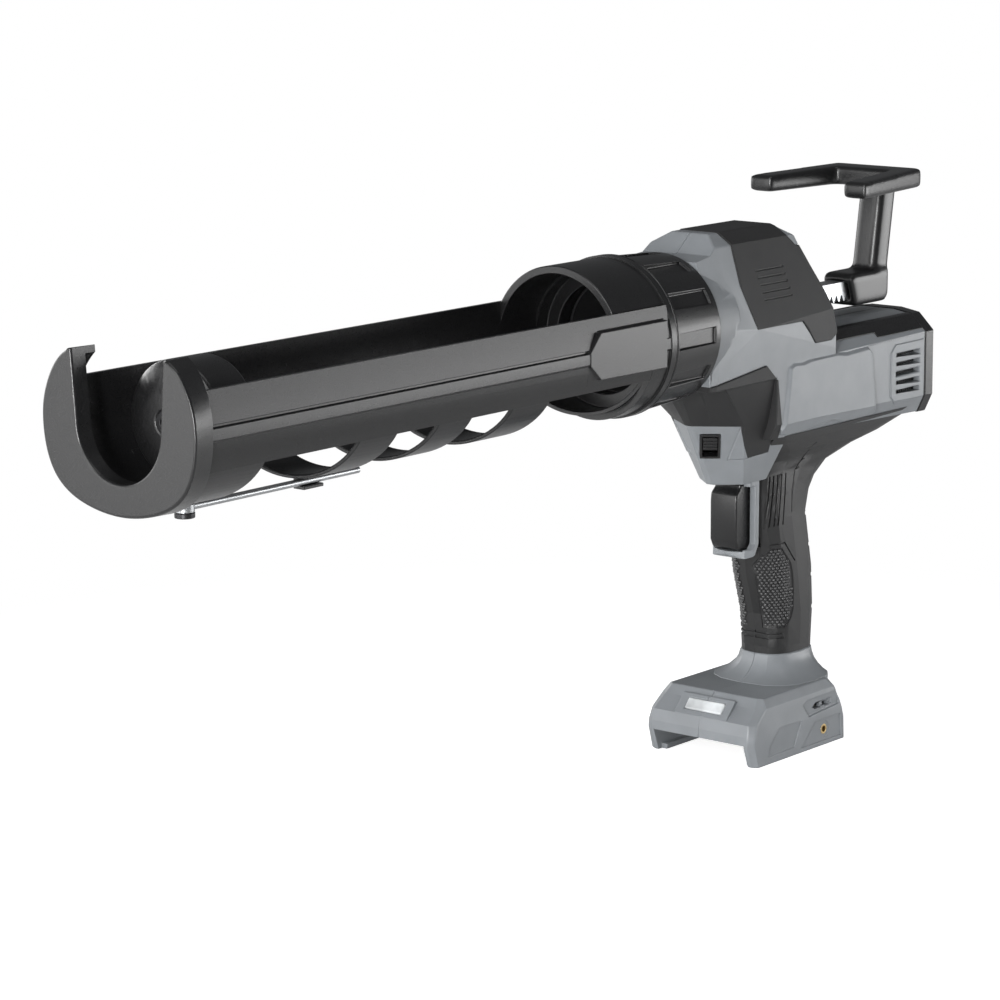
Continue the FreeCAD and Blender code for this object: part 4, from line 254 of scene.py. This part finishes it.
# Lamps: name, place, aim and size in metres, power in watts
LAMPS = [("right card", (-0.95, 0.85, -0.04), (-0.05, 0.0, -0.03), (1.15, 0.32), 7.5),
         ("left card", (1.15, -0.45, 0.15), (0.0, 0.0, -0.05), (0.9, 0.8), 7.0),
         ("front lamp", (1.5, 0.3, 1.2), (-0.05, 0.0, -0.05), (0.9, 0.9), 12.0),
         ("edge lamp", (1.98, 0.85, 0.12), (0.0, 0.0, -0.05), (0.2, 0.9), 46.0),
         ("far card", (0.1, -1.1, 0.15), (0.0, 0.0, -0.03), (1.3, 0.5), 7.0),
         ("top lamp", (-0.2, 0.3, 1.6), (-0.1, 0.0, 0.0), (0.8, 0.8), 3.0)]
WHITE = (1, 1, 1, 1)
WORLD_COLOUR = (0.95, 0.97, 1.0, 1)
WORLD_LIGHT = 0.14

# Floor: its reach in metres, its finish, the white added near the object, and the distances in metres
# over which the shadow fades out
FLOOR_REACH = 6.0
FLOOR_COLOUR = (0.8, 0.8, 0.8, 1)
FLOOR_ROUGHNESS = 0.9
FLOOR_LIFT = 0.8
FLOOR_FADE = (0.15, 0.6)


def make_camera():
    data = bpy.data.cameras.new("camera")
    data.sensor_width = CAMERA_SENSOR
    data.lens = FOCAL_SHARE * CAMERA_SENSOR
    camera = bpy.data.objects.new("camera", data)
    bpy.context.scene.collection.objects.link(camera)
    forward = Vector((-math.cos(CAMERA_YAW) * math.cos(CAMERA_PITCH),
                      -math.sin(CAMERA_YAW) * math.cos(CAMERA_PITCH), -math.sin(CAMERA_PITCH)))
    right = forward.cross(UP).normalized()
    down = forward.cross(right)
    cosine = math.cos(CAMERA_ROLL)
    sine = math.sin(CAMERA_ROLL)
    rolled_right = cosine * right + sine * down
    rolled_down = cosine * down - sine * right
    turn = Matrix((rolled_right, -rolled_down, -forward)).transposed()
    camera.matrix_world = Matrix.Translation(CAMERA_EYE) @ turn.to_4x4()
    bpy.context.scene.camera = camera


# Materials
def noise(tree, vector, scale, detail):
    node = tree.nodes.new("ShaderNodeTexNoise")
    node.inputs["Scale"].default_value = scale
    node.inputs["Detail"].default_value = detail
    tree.links.new(vector, node.inputs["Vector"])
    return node.outputs["Fac"]


def spread(tree, value, low, high):
    """The noise value, stretched to run from low to high."""
    node = tree.nodes.new("ShaderNodeMapRange")
    node.inputs["From Min"].default_value = NOISE_SPAN[0]
    node.inputs["From Max"].default_value = NOISE_SPAN[1]
    node.inputs["To Min"].default_value = low
    node.inputs["To Max"].default_value = high
    tree.links.new(value, node.inputs["Value"])
    return node.outputs["Result"]


def shades(tree, value, colour, change):
    """Darker and lighter shades of the colour, by the noise value."""
    node = tree.nodes.new("ShaderNodeValToRGB")
    for stop, share, place in zip(node.color_ramp.elements, (1 - change, 1 + change), NOISE_SPAN):
        stop.position = place
        stop.color = (*[share * part for part in colour], 1)
    tree.links.new(value, node.inputs["Fac"])
    return node.outputs["Color"]


def finish(name, colour, rough, metal=0.0, grain=2600.0, bump=0.12, stretch=(1, 1, 1), change=0.06,
           gloss=0.5):
    """A material with slow changes of colour and a fine grain in its roughness and relief."""
    material = bpy.data.materials.new(name)
    material.use_nodes = True
    tree = material.node_tree
    shader = tree.nodes["Principled BSDF"]
    shader.inputs["Metallic"].default_value = metal
    shader.inputs["Specular IOR Level"].default_value = gloss
    place = tree.nodes.new("ShaderNodeTexCoord")
    mapping = tree.nodes.new("ShaderNodeMapping")
    mapping.inputs["Scale"].default_value = stretch
    tree.links.new(place.outputs["Object"], mapping.inputs["Vector"])
    vector = mapping.outputs["Vector"]
    slow = noise(tree, vector, SLOW_SCALE, SLOW_DETAIL)
    fine = noise(tree, vector, grain, FINE_DETAIL)
    roughness = spread(tree, fine, rough - ROUGH_CHANGE, rough + ROUGH_CHANGE)
    tree.links.new(shades(tree, slow, colour, change), shader.inputs["Base Color"])
    tree.links.new(roughness, shader.inputs["Roughness"])
    relief = tree.nodes.new("ShaderNodeBump")
    relief.inputs["Strength"].default_value = bump
    relief.inputs["Distance"].default_value = RELIEF * MM
    tree.links.new(fine, relief.inputs["Height"])
    tree.links.new(relief.outputs["Normal"], shader.inputs["Normal"])
    return material


MATERIALS = {name: finish(name, **values) for name, values in FINISHES.items()}


# Meshes
@contextmanager
def editing(mesh):
    """The mesh opened for editing, and written back at the end."""
    work = bmesh.new()
    work.from_mesh(mesh)
    yield work
    work.to_mesh(mesh)
    work.free()


def tidy(mesh):
    """Weld the mesh and join faces that lie flat beside each other."""
    with editing(mesh) as work:
        bmesh.ops.remove_doubles(work, verts=work.verts, dist=WELD)
        bmesh.ops.dissolve_limit(work, angle_limit=FLAT_ANGLE, verts=work.verts, edges=work.edges)


def mesh_of(name, vertices, faces):
    mesh = bpy.data.meshes.new(name)
    mesh.from_pydata([tuple(v) for v in vertices], [], faces)
    with editing(mesh) as work:
        bmesh.ops.recalc_face_normals(work, faces=work.faces)
    return mesh


def new_object(name, mesh):
    obj = bpy.data.objects.new(name, mesh)
    bpy.context.scene.collection.objects.link(obj)
    return obj


def copy_of(node):
    mesh = NODES[node].data.copy()
    tidy(mesh)
    return new_object(node + "_piece", mesh)


def with_modifiers(obj):
    bpy.context.view_layer.update()
    return obj.evaluated_get(bpy.context.evaluated_depsgraph_get())


def combine(obj, other, operation):
    """The exact boolean of the two meshes, kept in obj."""
    modifier = obj.modifiers.new("shape", "BOOLEAN")
    modifier.operation = operation
    modifier.solver = "EXACT"
    modifier.object = other
    made = bpy.data.meshes.new_from_object(with_modifiers(obj))
    obj.modifiers.clear()
    obj.data = made
    bpy.data.objects.remove(other)


def surface_of(obj):
    return BVHTree.FromPolygons([v.co for v in obj.data.vertices], [p.vertices for p in obj.data.polygons])


def smooth_shading(obj):
    obj.data.shade_smooth()
    obj.data.set_sharp_from_angle(angle=SHARP_ANGLE)


def even_normals(obj):
    weighted = obj.modifiers.new("normals", "WEIGHTED_NORMAL")
    weighted.keep_sharp = True


# Solids
def closed_bar(rings):
    """A solid that runs through rings with the same number of corners."""
    count = len(rings[0])
    vertices = [v for ring in rings for v in ring]
    faces = []
    last = (len(rings) - 1) * count
    for first in range(0, last, count):
        for k in range(count):
            nxt = (k + 1) % count
            faces.append((first + k, first + nxt, first + count + nxt, first + count + k))
    faces.append(tuple(range(count - 1, -1, -1)))
    faces.append(tuple(last + k for k in range(count)))
    return vertices, faces


def extruded(low, high):
    """A solid between two outlines in mm with the same number of corners."""
    return closed_bar([[Vector(p) * MM for p in low], [Vector(p) * MM for p in high]])


def side_solid(outline, half):
    """A solid with this side outline that reaches half to the right and half to the left."""
    return extruded(*[[(x, y, z) for x, z in outline] for y in (-half, half)])


def plan_solid(plan, levels):
    """A solid with this outline from above, between two levels."""
    return extruded(*[[(x, y, z) for x, y in plan] for z in levels])


def grid_solid(low, high, rows, columns):
    """A slab between two grids of places."""
    count = rows * columns
    faces = []
    for row in range(rows - 1):
        for column in range(columns - 1):
            a = row * columns + column
            quad = (a, a + 1, a + columns + 1, a + columns)
            faces.append(quad)
            faces.append(tuple(count + k for k in reversed(quad)))
    rim = list(range(columns))
    rim += [row * columns + columns - 1 for row in range(1, rows)]
    rim += [(rows - 1) * columns + column for column in range(columns - 2, -1, -1)]
    rim += [row * columns for row in range(rows - 2, 0, -1)]
    for a, b in zip(rim, rim[1:] + rim[:1]):
        faces.append((a, b, count + b, count + a))
    return low + high, faces


def solid_object(name, solids):
    """One object that holds all the solids."""
    vertices = []
    faces = []
    for part_vertices, part_faces in solids:
        first = len(vertices)
        vertices.extend(part_vertices)
        faces.extend(tuple(first + k for k in face) for face in part_faces)
    return new_object(name, mesh_of(name, vertices, faces))


def cut_away(obj, solid):
    combine(obj, solid_object("cut", [solid]), "DIFFERENCE")


# Edge rounding
def is_sharp(edge):
    return len(edge.link_faces) == 2 and edge.calc_face_angle(0) > BEVEL_ANGLE


def next_edges(edge, choice):
    """The edges of the choice that carry on from the edge with only a gentle bend."""
    found = []
    for vert in edge.verts:
        along = vert.co - edge.other_vert(vert).co
        for other in vert.link_edges:
            if other in choice and along.angle(other.other_vert(vert).co - vert.co, 0) < BEND_ANGLE:
                found.append(other)
    return found


def edge_chains(edges):
    """A number for each sharp edge, the same along a run of edges that bends only gently."""
    chain = {}
    todo = set(edges)
    while todo:
        number = len(chain)
        front = [todo.pop()]
        while front:
            edge = front.pop()
            chain[edge] = number
            fresh = next_edges(edge, todo)
            todo.difference_update(fresh)
            front.extend(fresh)
    return chain


def room_beside(edge, face, chain):
    """How far a bevel of the edge may reach into the face before it meets the face's other edges."""
    room = math.inf
    spots = [edge.verts[0].co, (edge.verts[0].co + edge.verts[1].co) / 2, edge.verts[1].co]
    for other in face.edges:
        if other == edge or chain.get(other, -1) == chain[edge]:
            continue
        shared = [v for v in other.verts if v in edge.verts]
        if shared:
            near = shared[0].co
            along = (edge.other_vert(shared[0]).co - near).normalized()
            aside = other.other_vert(shared[0]).co - near
            room = min(room, (aside - along * aside.dot(along)).length)
            continue
        start = other.verts[0].co
        span = other.verts[1].co - start
        for spot in spots:
            share = max(0.0, min(1.0, (spot - start).dot(span) / max(span.length_squared, WELD * WELD)))
            room = min(room, (start + share * span - spot).length)
    return room


def weigh_edges(mesh, width, end_x):
    """Mark each sharp edge behind end_x with the share of the bevel width that it has room for."""
    with editing(mesh) as work:
        layer = work.edges.layers.float.new(BEVEL_LAYER)
        sharp = [edge for edge in work.edges if is_sharp(edge)]
        sharp = [edge for edge in sharp if min(vert.co.x for vert in edge.verts) < end_x]
        chain = edge_chains(sharp)
        shares = {}
        for edge in sharp:
            room = min(room_beside(edge, face, chain) for face in edge.link_faces)
            edge[layer] = min(1.0, BEVEL_ROOM_SHARE * room / width)
            shares.setdefault(chain[edge], []).append(edge[layer])
        for edge in sharp:
            if len(shares[chain[edge]]) >= CURVE_EDGES:
                edge[layer] = min(shares[chain[edge]])


def round_edges(obj, width, method):
    bevel = obj.modifiers.new("edges", "BEVEL")
    bevel.width = width * MM
    bevel.segments = BEVEL_SEGMENTS
    bevel.use_clamp_overlap = False
    bevel.limit_method = method
    bevel.angle_limit = BEVEL_ANGLE
    even_normals(obj)


def shown_spots(obj):
    """The places of all vertices of obj with its modifiers on."""
    shown = with_modifiers(obj)
    spots = [vert.co.copy() for vert in shown.to_mesh().vertices]
    shown.to_mesh_clear()
    return spots


def calm_spikes(obj, width):
    """Take the bevel off the edges where it runs away from the surface."""
    tree = surface_of(obj)
    weights = obj.data.attributes[BEVEL_LAYER].data
    for _ in range(SPIKE_ROUNDS):
        gaps = [(spot, tree.find_nearest(spot)[3]) for spot in shown_spots(obj)]
        spikes = [(spot, gap) for spot, gap in gaps if gap > SPIKE_SHARE * width * MM]
        if not spikes:
            return
        for edge in obj.data.edges:
            ends = [obj.data.vertices[k].co for k in edge.vertices]
            for spot, gap in spikes:
                if min((end - spot).length for end in ends) < gap + SPIKE_REACH:
                    weights[edge.index].value = 0.0
        obj.data.update()


def soften(obj, width, end_x=math.inf):
    """Round the sharp edges of obj behind end_x, each as far as there is room."""
    smooth_shading(obj)
    weigh_edges(obj.data, width * MM, end_x)
    round_edges(obj, width, "WEIGHT")
    calm_spikes(obj, width)


def soften_evenly(obj, width):
    smooth_shading(obj)
    round_edges(obj, width, "ANGLE")


# Pieces and the nodes that they stand for
def dress(obj, node, material=None):
    """Give obj the finish of a CAD node, and let it move with that node's body."""
    slot = SLOT_OF[node]
    obj.data.materials.clear()
    obj.data.materials.append(MATERIALS[material or OWN_FINISH.get(node, slot)])
    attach(obj, BODY_OF[node])


def stand_for(obj, *nodes):
    dress(obj, nodes[0])
    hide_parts(*nodes)


def paint_nodes():
    for node, obj in NODES.items():
        obj.data.materials.clear()
        obj.data.materials.append(MATERIALS[OWN_FINISH.get(node, SLOT_OF[node])])


# Grip covers
class Grip:
    """The outer surface of one grip cover; side is 1 for the left cover and -1 for the right."""

    def __init__(self, obj, side):
        self.tree = surface_of(obj)
        self.side = side
        self.levels = {}

    def arc(self, z):
        key = round(z, LEVEL_DIGITS)
        if key not in self.levels:
            self.levels[key] = self.trace(z)
        return self.levels[key]

    def trace(self, z):
        """Arc length and place round one level, from front to rear, with length 0 on the flank."""
        rear = self.tree.ray_cast(Vector((-RAY_START, self.side * RAY_ASIDE, z)), FORWARD)[0]
        middle = Vector((rear.x + GRIP_HALF_DEPTH * MM, 0, z))
        hits = []
        length = 0.0
        flank = 0.0
        for step in range(1, ARC_STEPS):
            turn = math.pi * step / ARC_STEPS
            out = Vector((math.cos(turn), self.side * math.sin(turn), 0))
            hit, facing = self.tree.ray_cast(middle + RAY_START * out, -out)[:2]
            if hit is None or facing.dot(out) < 0:
                continue
            if hits:
                length += (hit - hits[-1][1]).length
            if 2 * step <= ARC_STEPS:
                flank = length
            hits.append((length, hit))
        return [(flank - length, hit) for length, hit in hits]

    def point(self, along, z):
        """The place at an arc length ahead of the flank, on the level z, in metres."""
        hits = self.arc(z)
        for (s0, p0), (s1, p1) in zip(hits, hits[1:]):
            if s1 <= along <= s0:
                return p0.lerp(p1, (s0 - along) / max(s0 - s1, WELD))
        return hits[0][1] if along > hits[0][0] else hits[-1][1]

    def line(self, pairs, steps):
        """Places along a line of arc length and level pairs, both in mm."""
        places = []
        for (s0, z0), (s1, z1) in zip(pairs, pairs[1:]):
            for step in range(steps):
                share = step / steps
                places.append(self.point((s0 + share * (s1 - s0)) * MM, (z0 + share * (z1 - z0)) * MM))
        places.append(self.point(pairs[-1][0] * MM, pairs[-1][1] * MM))
        return places

    def rear_end(self, z):
        return self.arc(z)[-1][0]

    def nearest(self, place):
        return self.tree.find_nearest(place)[0]

    def normal(self, place):
        return self.tree.find_nearest(place)[1]

    def smooth_normal(self, along, z):
        across = self.point(along + NORMAL_REACH, z) - self.point(along - NORMAL_REACH, z)
        rise = self.point(along, z + NORMAL_REACH) - self.point(along, z - NORMAL_REACH)
        out = across.cross(rise).normalized()
        return out if out.y * self.side + out.x > 0 else -out

    def at(self, point):
        """A place that is given for the left grip, in mm, on this grip's side."""
        return Vector((point[0] * MM, self.side * point[1] * MM, point[2] * MM))


def groove(grip, points, width, depth):
    """A closed bar along points on the grip, ready to be cut out of it."""
    rings = []
    for index, place in enumerate(points):
        ahead = points[min(index + 1, len(points) - 1)]
        behind = points[max(index - 1, 0)]
        along = (ahead - behind).normalized()
        out = grip.normal(place)
        across = along.cross(out).normalized() * width * MM / 2
        low = place - out * depth * MM
        high = place + out * CUT_RISE * MM
        rings.append([low - across, low + across, high + across, high - across])
    return closed_bar(rings)


def panel_span(z):
    """The rear and front end of the bump panel on one level."""
    for (z0, a0, b0), (z1, a1, b1) in zip(PANEL_LEVELS, PANEL_LEVELS[1:]):
        if z1 <= z <= z0:
            share = (z0 - z) / (z0 - z1)
            return a0 + share * (a1 - a0), b0 + share * (b1 - b0)
    return None


def panel_slab(grip):
    """A slab that follows the grip, for sinking the bump panel."""
    top, bottom = PANEL_LEVELS[0][0], PANEL_LEVELS[-1][0]
    low = []
    high = []
    for row in range(PANEL_ROWS + 1):
        z = top + (bottom - top) * row / PANEL_ROWS
        start, end = panel_span(max(min(z, top), bottom))
        for column in range(PANEL_COLUMNS + 1):
            along = (start + (end - start) * column / PANEL_COLUMNS) * MM
            place = grip.point(along, z * MM)
            out = grip.smooth_normal(along, z * MM)
            low.append(place - out * PANEL_DEPTH * MM)
            high.append(place + out * CUT_RISE * MM)
    return grid_solid(low, high, PANEL_ROWS + 1, PANEL_COLUMNS + 1)


def bump(place, out):
    """One small rounded bump of the grip panel."""
    side = out.orthogonal().normalized()
    other = out.cross(side)
    vertices = []
    faces = []
    for ring in range(BUMP_RINGS):
        tilt = math.pi / 2 * ring / BUMP_RINGS
        for k in range(BUMP_SIDES):
            turn = 2 * math.pi * k / BUMP_SIDES
            flat = math.cos(tilt) * BUMP_R * (math.cos(turn) * side + math.sin(turn) * other)
            vertices.append(place + (flat + math.sin(tilt) * BUMP_RISE * out) * MM)
    for ring in range(BUMP_RINGS - 1):
        for k in range(BUMP_SIDES):
            nxt = (k + 1) % BUMP_SIDES
            a = ring * BUMP_SIDES
            faces.append((a + k, a + nxt, a + BUMP_SIDES + nxt, a + BUMP_SIDES + k))
    top = (BUMP_RINGS - 1) * BUMP_SIDES
    vertices.append(place + BUMP_RISE * MM * out)
    for k in range(BUMP_SIDES):
        faces.append((top + k, top + (k + 1) % BUMP_SIDES, len(vertices) - 1))
    faces.append(tuple(range(BUMP_SIDES - 1, -1, -1)))
    return vertices, faces


def bumps(grip):
    """Staggered rows of bumps over the sunk panel."""
    solids = []
    top, bottom = PANEL_LEVELS[0][0] - BUMP_EDGE, PANEL_LEVELS[-1][0] + BUMP_EDGE
    rows = int((top - bottom) / BUMP_ROW)
    for row in range(rows + 1):
        z = top - row * BUMP_ROW
        start, end = panel_span(z)
        first = math.ceil((start + BUMP_EDGE) / BUMP_PITCH)
        along = (first + (row % 2) / 2) * BUMP_PITCH
        while along < end - BUMP_EDGE:
            out = grip.smooth_normal(along * MM, z * MM)
            foot = grip.point(along * MM, z * MM) - out * (PANEL_DEPTH + BUMP_SINK) * MM
            solids.append(bump(foot, out))
            along += BUMP_PITCH
    return solids


def notch(grip, z):
    """A bar across the rear edge of the grip, a little past the middle."""
    end = grip.rear_end(z * MM) / MM
    places = grip.line([(end + NOTCH_ARC, z), (end, z)], NOTCH_STEPS)
    places.append(places[-1] + Vector((0, -grip.side * NOTCH_PAST * MM, 0)))
    return groove(grip, places, NOTCH_WIDTH, NOTCH_DEPTH)


def grip_cuts(grip):
    bars = [panel_slab(grip)]
    for top, foot in zip(GROOVE_TOPS, GROOVE_FEET):
        shares = [step / GROOVE_STEPS for step in range(GROOVE_STEPS + 1)]
        places = [grip.nearest(grip.at(top).lerp(grip.at(foot), share)) for share in shares]
        bars.append(groove(grip, places, GROOVE_WIDTH, GROOVE_DEPTH))
    seam = [grip.nearest(grip.at(place)) for place in SEAM]
    bars.append(groove(grip, seam, SEAM_WIDTH, SEAM_DEPTH))
    for lines, width in ((PANEL_SLOTS, GROOVE_WIDTH), (RING_GROOVES, RING_WIDTH)):
        for pairs in lines:
            bars.append(groove(grip, grip.line(pairs, LINE_STEPS), width, GROOVE_DEPTH))
    return bars + [notch(grip, z) for z in NOTCH_LEVELS]


def make_grip(side_name, side):
    node = side_name + "_grip_cover"
    cover = copy_of(node)
    grip = Grip(cover, side)
    cuts = grip_cuts(grip)
    studs = solid_object(side_name + "_grip_bumps", bumps(grip))
    studs.data.shade_smooth()
    for cut in cuts:
        cut_away(cover, cut)
    smooth_shading(cover)
    even_normals(cover)
    stand_for(cover, node)
    # The bumps get a lighter finish than the cover, a painted highlight on their tops
    dress(studs, node, "grip_studs_painted_sheen")


# Barrel and cap
def apron():
    """A curved plate low on the right that closes the front end of the trough's first gap."""
    first, last = APRON_ANGLES
    turns = [math.radians(first + (last - first) * step / APRON_STEPS) for step in range(APRON_STEPS + 1)]
    inner, outer = APRON_R
    section = [(-inner * math.cos(t), -inner * math.sin(t)) for t in turns]
    section += [(-outer * math.cos(t), -outer * math.sin(t)) for t in reversed(turns)]
    return extruded(*[[(x, y, z) for y, z in section] for x in APRON_X])


def make_barrel():
    barrel = copy_of("barrel")
    combine(barrel, copy_of("barrel_socket"), "UNION")
    combine(barrel, solid_object("apron", [apron()]), "UNION")
    tidy(barrel.data)
    soften(barrel, BARREL_ROUNDING, BARREL_END_X * MM)
    stand_for(barrel, "barrel", "barrel_socket")


def make_cap():
    """The front cap, rounded on the edges ahead of its shoulder."""
    cap = copy_of("front_cap")
    smooth_shading(cap)
    with editing(cap.data) as work:
        layer = work.edges.layers.float.new(BEVEL_LAYER)
        for edge in work.edges:
            ahead = min(vert.co.x for vert in edge.verts) > CAP_SHOULDER_X * MM
            edge[layer] = 1.0 if ahead and is_sharp(edge) else 0.0
    round_edges(cap, CAP_ROUNDING, "WEIGHT")
    stand_for(cap, "front_cap")


# Pull handle, trigger and plain pieces
def make_handle():
    """The pull handle with a soft moulded skin."""
    handle = copy_of("pull_handle")
    grid = handle.modifiers.new("grid", "REMESH")
    grid.mode = "VOXEL"
    grid.voxel_size = HANDLE_GRID * MM
    grid.use_smooth_shade = True
    soft = handle.modifiers.new("soft", "SMOOTH")
    soft.factor = HANDLE_SMOOTHING
    soft.iterations = HANDLE_ROUNDS
    stand_for(handle, "pull_handle")


def make_trigger():
    """A well rounded front block, joined to the stem of the CAD trigger."""
    block = solid_object("trigger_block", [side_solid(TRIGGER_OUTLINE, TRIGGER_HALF)])
    bevel = block.modifiers.new("edges", "BEVEL")
    bevel.width = TRIGGER_ROUNDING * MM
    bevel.segments = TRIGGER_SEGMENTS
    bevel.limit_method = "ANGLE"
    bevel.angle_limit = BEVEL_ANGLE
    piece = copy_of("trigger")
    cut_away(piece, side_solid(TRIGGER_FRONT, GUARD_HALF))
    combine(piece, block, "UNION")
    smooth_shading(piece)
    stand_for(piece, "trigger")


def make_plain_pieces():
    for table, rounded in ((ROUNDING, soften), (EVEN_ROUNDING, soften_evenly)):
        for node, width in table.items():
            piece = copy_of(node)
            rounded(piece, width)
            stand_for(piece, node)


# Housings
def foot_slot(start, end, side):
    inner, outer = FOOT_SLOT_SPAN
    plan = [(start, inner), (end, inner), (end, outer), (start, outer)]
    return plan_solid([(x, side * y) for x, y in plan], FOOT_SLOT_LEVELS)


def make_housing(side_name, side):
    node = side_name + "_housing"
    piece = copy_of(node)
    cuts = [side_solid(GUARD_SIDE_CUT, GUARD_HALF), plan_solid(GUARD_PLAN_CUT, GUARD_PLAN_LEVELS)]
    cuts += [foot_slot(start, end, side) for start, end in FOOT_SLOTS]
    for cut in cuts:
        cut_away(piece, cut)
    tidy(piece.data)
    soften(piece, HOUSING_ROUNDING)
    stand_for(piece, node)


def cheek_block(side):
    """The space ahead of the slanted line that parts the black panel from the grey cheek."""
    along_x, along_y = [CHEEK_REACH * share for share in CHEEK_ALONG]
    rings = []
    for x, y, z in (CHEEK_TOP, CHEEK_FOOT):
        plan = [(x - along_x, y - along_y), (x + along_x, y + along_y)]
        plan += [(u + along_y, v - along_x) for u, v in reversed(plan)]
        rings.append([(u, side * v, z) for u, v in plan])
    return extruded(*rings)


def make_chin(side_name, side):
    node = side_name + "_chin_panel"
    panel = copy_of(node)
    cheek = new_object(side_name + "_cheek", panel.data.copy())
    cut_away(panel, cheek_block(side))
    combine(cheek, solid_object("cut", [cheek_block(side)]), "INTERSECT")
    for piece in (panel, cheek):
        tidy(piece.data)
        soften(piece, CHIN_ROUNDING)
    stand_for(panel, node)
    dress(cheek, side_name + "_housing")


def make_vent_shade_sheet(side_name, side):
    """A dark ribbed sheet behind one group of motor vents, painted shade inside them."""
    start, end = SCREEN_ALONG
    step = (end - start) / (2 * SCREEN_RIBS)
    plan = []
    for index in range(2 * SCREEN_RIBS):
        depth = SCREEN_RIDGE if index % 2 else SCREEN_VALLEY
        plan += [(start + index * step, depth), (start + (index + 1) * step, depth)]
    plan += [(end, SCREEN_INNER), (start, SCREEN_INNER)]
    solid = plan_solid([(x, side * y) for x, y in plan], SCREEN_LEVELS)
    screen = solid_object(side_name + "_vent_shade_sheet", [solid])
    dress(screen, side_name + "_housing", "vent_painted_shade")


# Stage
def make_lamp(name, place, target, size, power):
    data = bpy.data.lights.new(name, "AREA")
    data.energy = power
    data.shape = "RECTANGLE"
    data.size, data.size_y = size
    lamp = new_object(name, data)
    lamp.location = place
    lamp.rotation_euler = (Vector(place) - Vector(target)).to_track_quat("Z", "Y").to_euler()


def mixed(tree, factor, low, high):
    """The low shader where the factor is 0, and the high one where it is 1."""
    node = tree.nodes.new("ShaderNodeMixShader")
    tree.links.new(factor, node.inputs["Fac"])
    tree.links.new(low, node.inputs[1])
    tree.links.new(high, node.inputs[2])
    return node.outputs["Shader"]


def camera_ray(tree):
    return tree.nodes.new("ShaderNodeLightPath").outputs["Is Camera Ray"]


def make_world():
    """White to the camera, with a faint cool light on the object."""
    world = bpy.data.worlds.new("world")
    bpy.context.scene.world = world
    world.use_nodes = True
    tree = world.node_tree
    seen = tree.nodes["Background"]
    seen.inputs["Color"].default_value = WHITE
    seen.inputs["Strength"].default_value = 1.0
    lit = tree.nodes.new("ShaderNodeBackground")
    lit.inputs["Color"].default_value = WORLD_COLOUR
    lit.inputs["Strength"].default_value = WORLD_LIGHT
    shader = mixed(tree, camera_ray(tree), lit.outputs["Background"], seen.outputs["Background"])
    tree.links.new(shader, tree.nodes["World Output"].inputs["Surface"])


def floor_fade(tree):
    """0 on the floor near the object, and 1 far from it."""
    place = tree.nodes.new("ShaderNodeTexCoord")
    distance = tree.nodes.new("ShaderNodeVectorMath")
    distance.operation = "LENGTH"
    tree.links.new(place.outputs["Object"], distance.inputs[0])
    fade = tree.nodes.new("ShaderNodeMapRange")
    fade.interpolation_type = "SMOOTHSTEP"
    fade.inputs["From Min"].default_value = FLOOR_FADE[0]
    fade.inputs["From Max"].default_value = FLOOR_FADE[1]
    tree.links.new(distance.outputs["Value"], fade.inputs["Value"])
    return fade.outputs["Result"]


def floor_material():
    """White to the camera, with the object's shadow near the object; plain pale grey to other rays."""
    material = bpy.data.materials.new("floor")
    material.use_nodes = True
    tree = material.node_tree
    matte = tree.nodes["Principled BSDF"]
    matte.inputs["Base Color"].default_value = FLOOR_COLOUR
    matte.inputs["Roughness"].default_value = FLOOR_ROUGHNESS
    white = tree.nodes.new("ShaderNodeEmission")
    lift = tree.nodes.new("ShaderNodeEmission")
    lift.inputs["Strength"].default_value = FLOOR_LIFT
    shadowed = tree.nodes.new("ShaderNodeAddShader")
    tree.links.new(matte.outputs["BSDF"], shadowed.inputs[0])
    tree.links.new(lift.outputs["Emission"], shadowed.inputs[1])
    seen = mixed(tree, floor_fade(tree), shadowed.outputs["Shader"], white.outputs["Emission"])
    shader = mixed(tree, camera_ray(tree), matte.outputs["BSDF"], seen)
    tree.links.new(shader, tree.nodes["Material Output"].inputs["Surface"])
    return material


def make_floor():
    signs = ((-1, -1), (1, -1), (1, 1), (-1, 1))
    corners = [(x * FLOOR_REACH, y * FLOOR_REACH, FLOOR_Z) for x, y in signs]
    floor = new_object("floor", mesh_of("floor", corners, [(0, 1, 2, 3)]))
    floor.data.materials.append(floor_material())


make_camera()
paint_nodes()
make_barrel()
make_cap()
make_handle()
make_plain_pieces()
make_trigger()
for make_pair in (make_housing, make_chin, make_grip, make_vent_shade_sheet):
    for side_name, side in SIDES:
        make_pair(side_name, side)
make_world()
make_floor()
for lamp in LAMPS:
    make_lamp(*lamp)
bpy.context.scene.view_settings.view_transform = "Standard"
